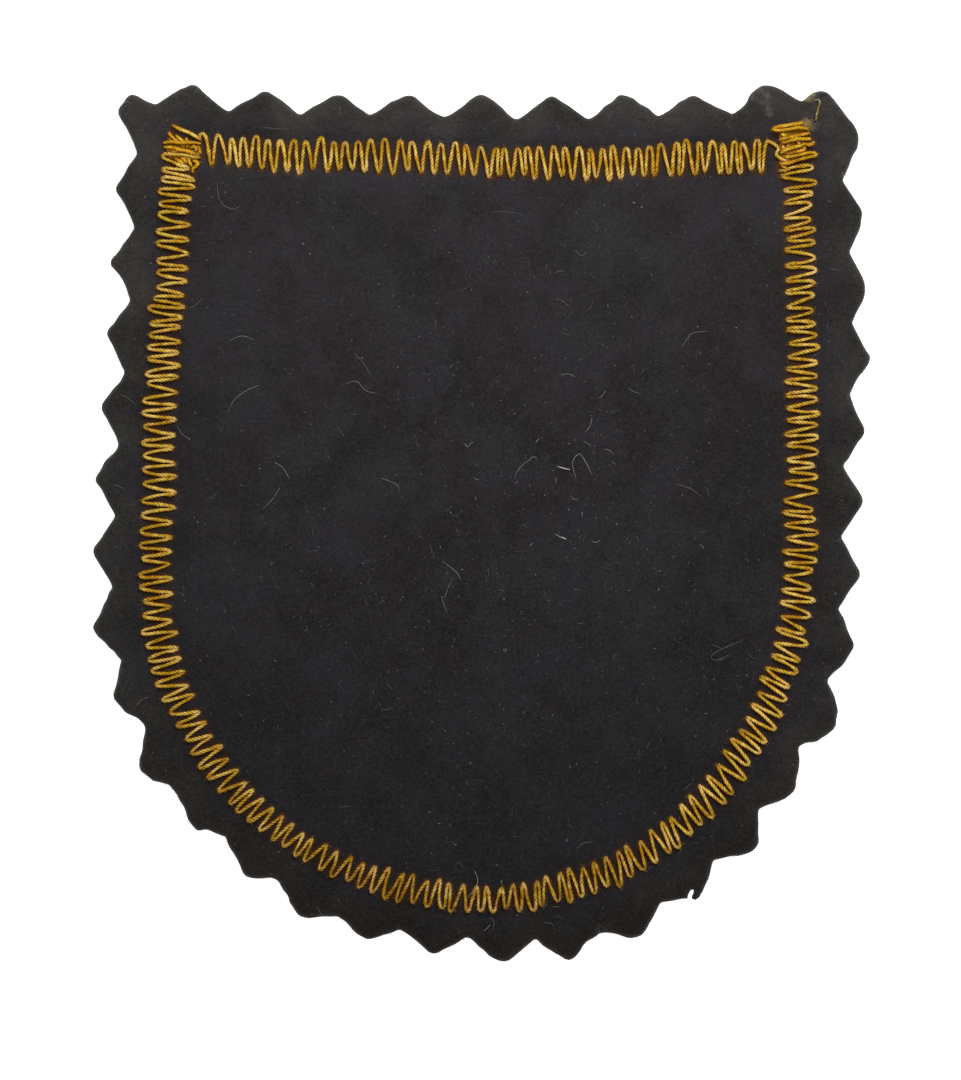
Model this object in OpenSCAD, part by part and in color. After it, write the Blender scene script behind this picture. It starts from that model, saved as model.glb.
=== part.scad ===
// Sew-on patch: a flat felt shield with a pinked edge, bordered by a machine zigzag stitch.
// Millimetres. The face is up (+Z), and the top edge of the shield is towards +Y. The origin is the middle
// of the underside. Every outline is drawn first, then centred on the origin and brought to patch_w.

/* [Felt] */
// Width of the patch over the tips of its teeth
patch_w = 68.6; // [50:0.1:110]
// Thickness of the felt
felt_t = 1.5; // [1.4:0.1:3]
// Radius of the tip of each tooth
tip_r = 1; // [0.4:0.1:1.2]
// Radius at the foot of the notch between two teeth
notch_r = 0.4; // [0.2:0.1:0.8]

/* [Border stitching] */
// Thickness of the needle thread on the face
thread_d = 0.45; // [0.3:0.05:0.5]
// Thickness of the bobbin thread on the back
bobbin_d = 0.3; // [0.2:0.05:0.35]
// Width of the zigzag between the middles of its turns
zigzag_w = 2.6; // [2:0.1:3]
// Zigzags in the row along the top edge
top_zigzags = 46; // [20:1:50]
// Zigzags in the row down one side, round the bottom and up the other side
side_zigzags = 133; // [60:1:150]
// Depth to which the stitches press into the face
press_face = 0.2; // [0.1:0.05:0.3]
// Depth to which the stitches sink into the back
press_back = 0.4; // [0.4:0.05:0.5]

/* [Corner tacks] */
// Thread passes laid over each other in the tack at the left corner
left_passes = 9; // [5:1:12]
// Thread passes laid over each other in the tack at the right corner
right_passes = 10; // [5:1:12]

/* [Hidden] */

black_felt = [0.16, 0.15, 0.16];
gold_thread = [0.72, 0.53, 0.16];

// Air left between a thread and the felt that it lies on
air = 0.05;
// Felt that gives way beside the stitching, on each side of it
channel_margin = 0.2;
// Straight pieces that round a tooth or a notch
round_steps = 5;
// Straight pieces round the outside of a turn of thread
turn_steps = 2;
// Straight pieces of a row's middle line from one station to the next
row_steps = 8;

// Each row is one straight or slightly bowed cut of the pinking shears. It starts in a notch and runs
// anticlockwise round the shield to the notch where the next row starts.
// [x and y of its first notch, outward bow of its middle, teeth, height of the teeth, lean of their tips]
side_cuts = [
  [-30.5,  32.7, -0.2, 3, 2.0, -0.1],
  [-31.6,  13.3,  0.2, 3, 2.0,  0.0],
  [-32.7,  -5.7,  1.1, 3, 2.3,  0.4],
  [-27.0, -23.4,  0.9, 3, 1.8,  0.5],
  [-12.8, -34.6,  1.2, 4, 2.1,  0.1],
  [ 10.3, -36.3,  1.3, 3, 2.1,  0.3],
  [ 24.4, -25.3,  0.4, 2, 2.1, -0.2],
  [ 30.9, -13.9,  0.2, 3, 2.0,  0.0],
  [ 31.9,   5.1,  0.8, 4, 1.7,  0.0],
];
side_end = [31.8, 30.3];
top_cuts = [
  [ 28.2,  37.3,  0.0, 1, 2.2, -0.3],
  [ 22.1,  36.0, -0.6, 8, 2.2,  0.0],
];
top_end = [-28.9, 36.8];

// The blunt tooth that is left at each top corner, where the cuts of two edges meet
right_corner = [[33.4, 34.3], [30.2, 38.5]];
left_corner = [[-31.1, 38.2], [-32.2, 36.4]];

// A small bite that the shears took out of the cut edge near the lower right
nick = [[18.3, -34.0], [19.2, -34.0], [19.0, -32.8], [18.5, -32.5], [18.3, -32.9]];

// Tacks over the ends of the rows, [x, y of the middle, width, height]
left_tack_at = [-26.7, 32.2, 3.3, 3.8];
right_tack_at = [27.9, 33.0, 3.3, 4.2];
// How far a pass of thread rises from one end of a tack to the other
tack_slant = 0.35;

// Stations on the middle line of each row of stitching between its two tacks, [x, y]
top_stations = [[-15.0, 32.6], [-4.0, 32.3], [7.0, 31.8], [16.0, 32.1]];
side_stations = [
  [-27.9, 19.5], [-28.6, 9.0], [-28.9, -1.5], [-27.9, -12.0], [-23.4, -21.8], [-15.6, -28.7], [-6.0, -32.6],
  [4.2, -33.0], [13.8, -29.8], [21.2, -23.0], [26.1, -14.0], [28.1, -4.0], [28.3, 8.0], [28.2, 20.0]
];
// How far the top row starts above the middle of each tack, and the side row to the right of it
top_row_rise = [0.7, -0.6];
side_row_shift = [-0.2, 0];
// Distance from a tack to the middle line of a row that starts beside it
row_gap = thread_d / 2 + 0.2;

function unit(v) = v / norm(v);
function right_of(v) = [v.y, -v.x];

// Points of one cut: a notch, then the tip of the tooth after it, as [point, radius]
function cut_points(cut, finish) =
  let (
    start = [cut[0], cut[1]],
    out = right_of(unit(finish - start)),
    line = function (s) start + (finish - start) * s + out * cut[2] * 4 * s * (1 - s)
  )
  [for (tooth = [0 : cut[3] - 1])
    let (
      foot = line(tooth / cut[3]),
      next = line((tooth + 1) / cut[3]),
      along = unit(next - foot)
    )
    each [
      [foot, notch_r],
      [(foot + next) / 2 + right_of(along) * cut[4] + along * cut[5], tip_r]
    ]
  ];

// Points of a chain of cuts, ending in the notch called last
function edge_points(cuts, last) =
  [for (i = [0 : len(cuts) - 1])
    each cut_points(cuts[i], i + 1 < len(cuts) ? [cuts[i + 1][0], cuts[i + 1][1]] : last),
   [last, notch_r]];

// Arc of radius r that rounds the corner b of an outline that comes from a and goes on to c
function rounded(a, b, c, r) =
  let (
    back = unit(a - b),
    on = unit(c - b),
    half = acos(back * on) / 2,
    reach = min(r / tan(half), norm(a - b) * 0.45, norm(c - b) * 0.45),
    middle = b + unit(back + on) * reach / cos(half),
    first = b + back * reach - middle,
    turn = (cross(back, on) < 0 ? 1 : -1) * (180 - 2 * half)
  )
  [for (k = [0 : round_steps])
    let (w = turn * k / round_steps)
    middle + [first.x * cos(w) - first.y * sin(w), first.x * sin(w) + first.y * cos(w)]];

corners = concat(
  edge_points(side_cuts, side_end), [for (p = right_corner) [p, tip_r]],
  edge_points(top_cuts, top_end), [for (p = left_corner) [p, tip_r]]
);
drawn = [
  for (i = [0 : len(corners) - 1])
    each rounded(
      corners[(i + len(corners) - 1) % len(corners)][0], corners[i][0],
      corners[(i + 1) % len(corners)][0], corners[i][1]
    )
];

// Lowest and highest corner of the drawn outline, from which it is centred and brought to size
low = [min([for (p = drawn) p.x]), min([for (p = drawn) p.y])];
high = [max([for (p = drawn) p.x]), max([for (p = drawn) p.y])];
drawn_w = high.x - low.x;
grow = patch_w / drawn_w;
function placed(p) = (p - (low + high) / 2) * grow;

// Smooth line through stations: a Catmull-Rom curve with row_steps pieces between two of them
function smooth(p) =
  let (
    last = len(p) - 1,
    at = function (i) i < 0 ? 2 * p[0] - p[1] : i > last ? 2 * p[last] - p[last - 1] : p[i]
  )
  [for (i = [0 : last - 1], k = [0 : row_steps - (i < last - 1 ? 1 : 0)])
    let (
      t = k / row_steps,
      slack = at(i + 1) - at(i - 1),
      next_slack = at(i + 2) - at(i)
    )
    p[i] + slack * t / 2
      + (3 * (p[i + 1] - p[i]) - slack - next_slack / 2) * t * t
      + (2 * (p[i] - p[i + 1]) + (slack + next_slack) / 2) * t * t * t];

// Length run along a line up to each of its points
function lengths(p, i = 0, sum = 0) =
  i == len(p) - 1 ? [sum] : concat([sum], lengths(p, i + 1, sum + norm(p[i + 1] - p[i])));

// Point at a distance along a line, and the direction to its right there
function at_length(p, run, s) =
  [lookup(s, [for (i = [0 : len(p) - 1]) [run[i], p[i].x]]),
   lookup(s, [for (i = [0 : len(p) - 1]) [run[i], p[i].y]])];
function side_of(p, run, s) =
  right_of(unit(at_length(p, run, min(s + 0.5, run[len(run) - 1])) - at_length(p, run, max(s - 0.5, 0))));

// Where a row starts: beside a tack, on the side that hand names, or below it
function beside(at, hand, rise) = placed([at[0], at[1]]) + [hand * (at[2] / 2 + row_gap), rise];
function below(at, shift) = placed([at[0], at[1]]) + [shift, -(at[3] + tack_slant) / 2 - row_gap];

top_line = smooth(concat(
  [beside(left_tack_at, 1, top_row_rise[0])],
  [for (p = top_stations) placed(p)],
  [beside(right_tack_at, -1, top_row_rise[1])]
));
side_line = smooth(concat(
  [below(left_tack_at, side_row_shift[0])],
  [for (p = side_stations) placed(p)],
  [below(right_tack_at, side_row_shift[1])]
));

// Turning points of a zigzag along a line, right and left of it in turn
function turns(line, count) =
  let (
    run = lengths(line),
    step = run[len(run) - 1] / (2 * count)
  )
  [for (i = [0 : 2 * count])
    at_length(line, run, i * step) + side_of(line, run, i * step) * (i % 2 == 0 ? 1 : -1) * zigzag_w / 2];

// A line with both of its ends drawn out by a length
function drawn_out(line, extra) =
  let (last = len(line) - 1)
  concat(
    [line[0] + unit(line[0] - line[1]) * extra],
    line,
    [line[last] + unit(line[last] - line[last - 1]) * extra]
  );

// Outline of a band that follows a line
function band(line, w) =
  let (run = lengths(line))
  concat(
    [for (i = [0 : len(line) - 1]) line[i] + side_of(line, run, run[i]) * w / 2],
    [for (i = [len(line) - 1 : -1 : 0]) line[i] - side_of(line, run, run[i]) * w / 2]
  );

// One side of a thread that follows turning points: hand is 1 for the right side and -1 for the left.
// Inside a turn the two stretches of thread meet in one point, and outside it the thread has a round end.
function thread_side(p, half, hand) =
  [for (i = [0 : len(p) - 1])
    let (
      last = len(p) - 1,
      came = unit(i == 0 ? p[1] - p[0] : p[i] - p[i - 1]),
      goes = unit(i == last ? p[last] - p[last - 1] : p[i + 1] - p[i]),
      outward = came - goes,
      opening = acos(max(-1, min(1, -came * goes))) / 2,
      stroke = min(i == 0 ? 1e3 : norm(p[i] - p[i - 1]), i == last ? 1e3 : norm(p[i + 1] - p[i]))
    )
    each
      i == 0 || i == last ? [p[i] + hand * half * right_of(came)]
      : hand * cross(came, goes) < 0 ? [p[i] - unit(outward) * min(half / sin(opening), stroke * 0.45)]
      : [for (k = [0 : turn_steps])
          let (w = hand * (180 - 2 * opening) * k / turn_steps, n = hand * half * right_of(came))
          p[i] + [n.x * cos(w) - n.y * sin(w), n.x * sin(w) + n.y * cos(w)]]
  ];

module zigzag(line, count, d) {
  p = turns(line, count);
  right = thread_side(p, d / 2, 1);
  left = thread_side(p, d / 2, -1);
  linear_extrude(height = d)
    polygon(concat(right, [for (i = [len(left) - 1 : -1 : 0]) left[i]]));
}

// A bar of thread passes side by side, bound by a thinner core of the passes beneath them
module tack(at, passes, d) {
  rise = at[3] / passes;
  translate(concat(placed([at[0], at[1]]), d / 2)) {
    cube([at[2] * 0.8, at[3] - rise, d * 0.6], center = true);
    for (i = [0 : passes - 1])
      translate([0, (i - (passes - 1) / 2) * rise, 0])
        rotate([0, 90, atan(tack_slant / at[2]) * (i % 2 == 0 ? 1 : -1)])
          cylinder(h = at[2] - (i % 3) * 0.2, d = d, center = true, $fn = 16);
  }
}

// Ground that the stitching covers, with the felt that gives way beside it
module stitched_ground() {
  wide = zigzag_w + thread_d + 2 * channel_margin;
  for (line = [top_line, side_line])
    polygon(band(drawn_out(line, thread_d + channel_margin), wide));
  for (at = [left_tack_at, right_tack_at])
    translate(placed([at[0], at[1]]))
      square([at[2] + 3 * channel_margin, at[3] + 3 * channel_margin], center = true);
}

module felt_shield() {
  color(black_felt)
    difference() {
      linear_extrude(height = felt_t) polygon([for (p = drawn) placed(p)]);
      translate([0, 0, felt_t - press_face]) linear_extrude(height = 1) stitched_ground();
      translate([0, 0, -1]) linear_extrude(height = 1 + press_back) stitched_ground();
      translate([0, 0, -1]) linear_extrude(height = felt_t + 2) polygon([for (p = nick) placed(p)]);
    }
}

// The face's threads lie in the pressed channel and stand a little proud of the felt
module on_face() {
  color(gold_thread) translate([0, 0, felt_t - press_face + air]) children();
}

// The back's threads lie up inside their channel, clear of what the patch rests on
module on_back() {
  color(gold_thread) translate([0, 0, press_back - air - bobbin_d]) children();
}

module top_row() {
  on_face() zigzag(top_line, top_zigzags, thread_d);
}

module side_row() {
  on_face() zigzag(side_line, side_zigzags, thread_d);
}

module left_tack() {
  on_face() tack(left_tack_at, left_passes, thread_d);
}

module right_tack() {
  on_face() tack(right_tack_at, right_passes, thread_d);
}

module top_row_back() {
  on_back() zigzag(top_line, top_zigzags, bobbin_d);
}

module side_row_back() {
  on_back() zigzag(side_line, side_zigzags, bobbin_d);
}

module left_tack_back() {
  on_back() tack(left_tack_at, left_passes, bobbin_d);
}

module right_tack_back() {
  on_back() tack(right_tack_at, right_passes, bobbin_d);
}

felt_shield();
top_row();
side_row();
left_tack();
right_tack();
top_row_back();
side_row_back();
left_tack_back();
right_tack_back();
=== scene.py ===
import math
import bmesh
import bpy
import numpy as np
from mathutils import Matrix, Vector
from mathutils.bvhtree import BVHTree
from mathutils.kdtree import KDTree


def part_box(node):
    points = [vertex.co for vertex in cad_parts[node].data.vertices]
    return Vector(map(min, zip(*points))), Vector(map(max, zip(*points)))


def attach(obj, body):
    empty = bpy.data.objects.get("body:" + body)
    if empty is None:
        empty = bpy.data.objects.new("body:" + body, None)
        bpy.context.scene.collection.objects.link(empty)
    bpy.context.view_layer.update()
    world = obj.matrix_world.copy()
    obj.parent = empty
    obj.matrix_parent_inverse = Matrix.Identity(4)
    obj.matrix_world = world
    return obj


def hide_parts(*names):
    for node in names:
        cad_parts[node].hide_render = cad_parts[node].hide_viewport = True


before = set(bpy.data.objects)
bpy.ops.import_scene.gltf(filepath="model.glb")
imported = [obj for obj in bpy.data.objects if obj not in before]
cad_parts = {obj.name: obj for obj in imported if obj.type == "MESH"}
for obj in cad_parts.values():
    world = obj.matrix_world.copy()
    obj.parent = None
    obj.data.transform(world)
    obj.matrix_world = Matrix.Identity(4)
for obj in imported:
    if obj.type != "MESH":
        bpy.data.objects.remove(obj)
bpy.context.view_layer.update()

mm = 0.001  # lengths below are in millimetres until a mesh is made
fullTurn = 2 * math.pi

photo = {
    "height": 1080,  # pixels, the long side of the picture
    "centre": (480.5, 540),  # pixel in the middle of the picture
    "pixelsPerMm": 11.3,
    "origin": (481.2, 522.6),  # pixel over the origin of the patch
}


def atPixel(x, y):
    # x and y on the patch, in millimetres, of a pixel of the photo
    return (x - photo["origin"][0]) / photo["pixelsPerMm"], (photo["origin"][1] - y) / photo["pixelsPerMm"]


# Camera, straight above the patch

cameraSetup = {
    "lens": 100,
    "sensor": 36,  # along the picture's long side
    "faceHeight": 1.5,
}


def addCamera():
    viewHeight = photo["height"] / photo["pixelsPerMm"]
    distance = viewHeight * cameraSetup["lens"] / cameraSetup["sensor"]
    x, y = atPixel(*photo["centre"])
    data = bpy.data.cameras.new("camera")
    data.lens = cameraSetup["lens"]
    data.sensor_width = cameraSetup["sensor"]
    data.clip_start = 0.01
    camera = bpy.data.objects.new("camera", data)
    camera.location = (x * mm, y * mm, (cameraSetup["faceHeight"] + distance) * mm)
    bpy.context.collection.objects.link(camera)
    bpy.context.scene.camera = camera
    print("camera at", tuple(round(v, 4) for v in camera.location))


addCamera()


# Shader maths and nodes


class Wire:
    # a socket of a node, so that sums on it read as plain maths
    def __init__(self, finish, socket):
        self.finish = finish
        self.socket = socket

    def maths(self, operation, first, second):
        return self.finish.node("ShaderNodeMath", {"operation": operation}, {0: first, 1: second})

    def __add__(self, other):
        return self.maths("ADD", self, other)

    def __radd__(self, other):
        return self.maths("ADD", other, self)

    def __sub__(self, other):
        return self.maths("SUBTRACT", self, other)

    def __rsub__(self, other):
        return self.maths("SUBTRACT", other, self)

    def __mul__(self, other):
        return self.maths("MULTIPLY", self, other)

    def __rmul__(self, other):
        return self.maths("MULTIPLY", other, self)


class Finish:
    # a material and the few kinds of nodes that it is made of
    def __init__(self, name):
        self.material = bpy.data.materials.new(name)
        self.material.use_nodes = True
        self.tree = self.material.node_tree
        self.tree.nodes.clear()

    def node(self, kind, settings, inputs, output=0):
        node = self.tree.nodes.new(kind)
        for name, value in settings.items():
            setattr(node, name, value)
        for name, value in inputs.items():
            if isinstance(value, Wire):
                self.tree.links.new(value.socket, node.inputs[name])
            else:
                node.inputs[name].default_value = value
        return Wire(self, node.outputs[output]) if len(node.outputs) else None

    def place(self):
        # where a point lies on the patch, in millimetres
        here = self.node("ShaderNodeTexCoord", {}, {}, "Object")
        return self.node("ShaderNodeVectorMath", {"operation": "SCALE"}, {0: here, "Scale": 1 / mm})

    def noise(self, vector, size, detail=2.0, warp=0.0, kind="FBM", roughness=0.5):
        # a value of about a half whose spots are about size wide
        return self.node("ShaderNodeTexNoise", {"noise_type": kind, "normalize": True}, {
            "Vector": vector, "Scale": 1 / size, "Detail": detail, "Distortion": warp,
            "Roughness": roughness})

    def fade(self, value, start, finish, low=0.0, high=1.0):
        # low below start and high past finish, with a smooth change between them
        return self.node("ShaderNodeMapRange", {"interpolation_type": "SMOOTHSTEP"}, {
            "Value": value, "From Min": start, "From Max": finish, "To Min": low, "To Max": high})

    def axis(self, vector, letter):
        return self.node("ShaderNodeSeparateXYZ", {}, {0: vector}, letter)

    def attribute(self, name):
        return self.node("ShaderNodeAttribute", {"attribute_name": name}, {}, "Fac")

    def mix(self, share, first, second, blend="MIX"):
        # two colours mixed, or each a tuple of red, green and blue
        colour = [(*c, 1) if isinstance(c, tuple) else c for c in (first, second)]
        return self.node("ShaderNodeMix", {"data_type": "RGBA", "blend_type": blend}, {
            0: share, 6: colour[0], 7: colour[1]}, 2)

    def toned(self, colour, tone):
        # a colour made darker or lighter by a value
        grey = self.node("ShaderNodeCombineColor", {}, {0: tone, 1: tone, 2: tone})
        return self.mix(1.0, colour, grey, "MULTIPLY")

    def bump(self, height, depth, strength=1.0, under=None):
        inputs = {"Height": height, "Distance": depth * mm, "Strength": strength}
        if under:
            inputs["Normal"] = under
        return self.node("ShaderNodeBump", {}, inputs)

    def surface(self, inputs):
        shader = self.node("ShaderNodeBsdfPrincipled", {}, inputs)
        self.node("ShaderNodeOutputMaterial", {}, {"Surface": shader})
        return self.material


# Meshes from arrays


def addValues(mesh, **values):
    # one value for each point, under the name that a finish reads
    for name, each in values.items():
        mesh.attributes.new(name, "FLOAT", "POINT").data.foreach_set("value", np.asarray(each, np.float32))


def makePiece(name, verts, faces, slot, material, uvs=None, **values):
    # verts in millimetres; uvs: one pair for each corner of each face; values: one number for each point
    mesh = bpy.data.meshes.new(name)
    mesh.from_pydata((np.asarray(verts) * mm).tolist(), [], faces)
    if uvs is not None:
        mesh.uv_layers.new(name="along").data.foreach_set("uv", np.asarray(uvs, np.float32).ravel())
    addValues(mesh, **values)
    mesh.shade_smooth()
    piece = bpy.data.objects.new(name, mesh)
    bpy.context.collection.objects.link(piece)
    piece.data.materials.append(material)
    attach(piece, "root")
    mesh.calc_loop_triangles()
    print(f"{name}: {len(mesh.loop_triangles)} triangles")
    return piece


def tubes(lines, radius, profile, pitch=0.0):
    # strands along lines (strands x rings x 3); profile is the ring's outline on a strand of radius 1
    lines = np.asarray(lines, float)
    profile = np.asarray(profile, float)
    count, rings = lines.shape[:2]
    sides = len(profile)
    along = np.gradient(lines, axis=1)
    along /= np.linalg.norm(along, axis=2, keepdims=True)
    side = np.cross((0.0, 0.0, 1.0), along)
    side[..., 0] += 1e-6  # so that an upright strand has a side too
    side /= np.linalg.norm(side, axis=2, keepdims=True)
    over = np.cross(along, side)
    steps = np.linalg.norm(np.diff(lines, axis=1), axis=2)
    run = np.concatenate([np.zeros((count, 1)), np.cumsum(steps, axis=1)], axis=1)
    angle = fullTurn * np.arange(sides) / sides + np.zeros((count, rings, 1))
    if pitch:
        angle = angle + fullTurn * run[..., None] / pitch
    radius = np.broadcast_to(radius, (count, rings))
    reach = (radius[..., None] * profile)[..., None]
    verts = lines[:, :, None] + reach * (
        np.cos(angle)[..., None] * side[:, :, None] + np.sin(angle)[..., None] * over[:, :, None])
    grid = np.arange(count * rings * sides).reshape(count, rings, sides)
    beside = np.roll(grid, -1, axis=2)
    quads = np.stack([grid[:, :-1], beside[:, :-1], beside[:, 1:], grid[:, 1:]], axis=-1)
    caps = np.concatenate([grid[:, 0, ::-1], grid[:, -1]])
    u = np.arange(sides) / sides + np.zeros((count, rings - 1, 1))
    low = run[:, :-1, None] + np.zeros((1, 1, sides))
    high = run[:, 1:, None] + np.zeros((1, 1, sides))
    after = u + 1 / sides
    corners = ((u, low), (after, low), (after, high), (u, high))
    uvs = np.stack([np.stack(pair, axis=-1) for pair in corners], axis=-2)
    capUvs = np.zeros((caps.size, 2))
    faces = quads.reshape(-1, 4).tolist() + caps.tolist()
    upward = np.sin(angle).ravel()  # 1 along the top of a strand and -1 along its underside
    return verts.reshape(-1, 3), faces, np.concatenate([uvs.reshape(-1, 2), capUvs]), upward


def joined(parts):
    # several strands from tubes() as one
    faces = []
    base = 0
    for verts, partFaces, _, _ in parts:
        faces += [[v + base for v in face] for face in partFaces]
        base += len(verts)
    verts, uvs, upward = [np.concatenate([part[i] for part in parts]) for i in (0, 2, 3)]
    return verts, faces, uvs, upward


def runOf(line):
    # length run along a line up to each of its points
    return np.concatenate([[0], np.cumsum(np.linalg.norm(np.diff(line, axis=0), axis=1))])


def evenly(line, step=0.0, count=0):
    run = runOf(line)
    count = count or max(3, round(run[-1] / step) + 1)
    places = np.linspace(0, run[-1], count)
    return np.stack([np.interp(places, run, line[:, i]) for i in range(line.shape[1])], axis=1)


def smoothLine(points, step=0.1, count=0):
    # evenly spaced points of a smooth line through the given ones, with no overshoot at tight turns
    p = np.asarray(points, float)
    p = np.vstack([2 * p[0] - p[1], p, 2 * p[-1] - p[-2]])
    gaps = np.maximum(np.linalg.norm(np.diff(p, axis=0), axis=1), 1e-6)
    knots = np.concatenate([[0], np.cumsum(np.sqrt(gaps))])
    parts = []
    for i in range(1, len(p) - 2):
        k0, k1, k2, k3 = knots[i - 1:i + 3]
        t = np.linspace(k1, k2, max(3, math.ceil(gaps[i] / 0.04)), endpoint=False)[:, None]
        a = ((k1 - t) * p[i - 1] + (t - k0) * p[i]) / (k1 - k0)
        b = ((k2 - t) * p[i] + (t - k1) * p[i + 1]) / (k2 - k1)
        c = ((k3 - t) * p[i + 1] + (t - k2) * p[i + 2]) / (k3 - k2)
        ab = ((k2 - t) * a + (t - k0) * b) / (k2 - k0)
        bc = ((k3 - t) * b + (t - k1) * c) / (k3 - k1)
        parts.append(((k2 - t) * ab + (t - k1) * bc) / (k2 - k1))
    parts.append(p[-2:-1])
    return evenly(np.vstack(parts), step, count)


def ripples(seed, size, waves=40):
    # smooth noise of about one unit, whose bumps are about size wide
    rng = np.random.default_rng(seed)
    angle = rng.uniform(0, fullTurn, waves)
    pitch = size * rng.uniform(1.4, 2.8, waves)
    phase = rng.uniform(0, fullTurn, waves)
    kx = np.cos(angle) * fullTurn / pitch
    ky = np.sin(angle) * fullTurn / pitch

    def height(xy):
        return np.sin(xy[:, :1] * kx + xy[:, 1:2] * ky + phase).sum(axis=1) / math.sqrt(waves / 2)
    return height


def treeOf(points):
    tree = KDTree(len(points))
    for i, p in enumerate(points):
        tree.insert((p[0], p[1], p[2] if len(p) > 2 else 0), i)
    tree.balance()
    return tree


def distancesTo(tree, xy):
    return np.array([tree.find((x, y, 0))[2] for x, y in xy])


# Routes of the two rows of stitching

topRow = {
    # x and y of points on the row's middle line, in the order of sewing
    "stations": [(-26.2, 33.0), (-15.0, 32.6), (-4.0, 32.3), (7.0, 31.8), (16.0, 32.1), (27.2, 32.4)],
    "outerHand": -1,  # the outer turns lie left of the way that the row runs
    "startsInside": True,  # an inner turn comes first
    # where each turn lies along the row, read off the photo, and how far out it reaches, 0 to 9
    "outer": [
        2.9, 4.1, 5.1, 6.25, 7.3, 8.4, 9.6, 10.65, 12.0, 13.15, 14.15, 15.3, 16.4, 17.65,
        19.0, 20.05, 21.45, 22.6, 23.85, 24.8, 26.1, 27.5, 28.2, 29.4, 30.25, 31.3, 32.6, 33.6, 34.9, 35.9,
        37.0, 37.9, 39.1, 40.15, 41.15, 42.15, 43.55, 44.4, 45.55, 46.7, 47.6, 48.65, 49.35, 50.65, 51.6],
    "outerReach": "52352232622356" "5453532223456553" "353235685635365",
    "inner": [
        2.4, 3.85, 4.8, 5.7, 6.85, 7.95, 9.1, 10.2, 11.35, 12.65, 13.7, 14.85, 15.95, 17.2, 18.45,
        19.75, 20.95, 22.1, 23.25, 24.6, 25.65, 27.0, 27.9, 28.95, 30.1, 31.0, 32.2, 33.4, 34.3, 35.5, 36.35,
        37.5, 38.5, 39.6, 40.6, 41.5, 43.0, 43.8, 45.1, 46.0, 47.35, 48.1, 49.1, 50.1, 50.95],
    "innerReach": "424458794643567" "3555556453562564" "76355555245525",
    # pixels of the photo that the thread's ends pass through
    "leadIn": [(171.9, 125.3), (180.6, 129.9), (190.8, 134), (199, 139.1), (200.5, 140.5), (200.3, 136),
               (203.1, 134), (205.6, 136.5)],
    "leadOut": [(769.8, 142.9), (778.1, 149.9), (775.5, 155), (779.3, 158.9), (788, 161)],
}

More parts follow.
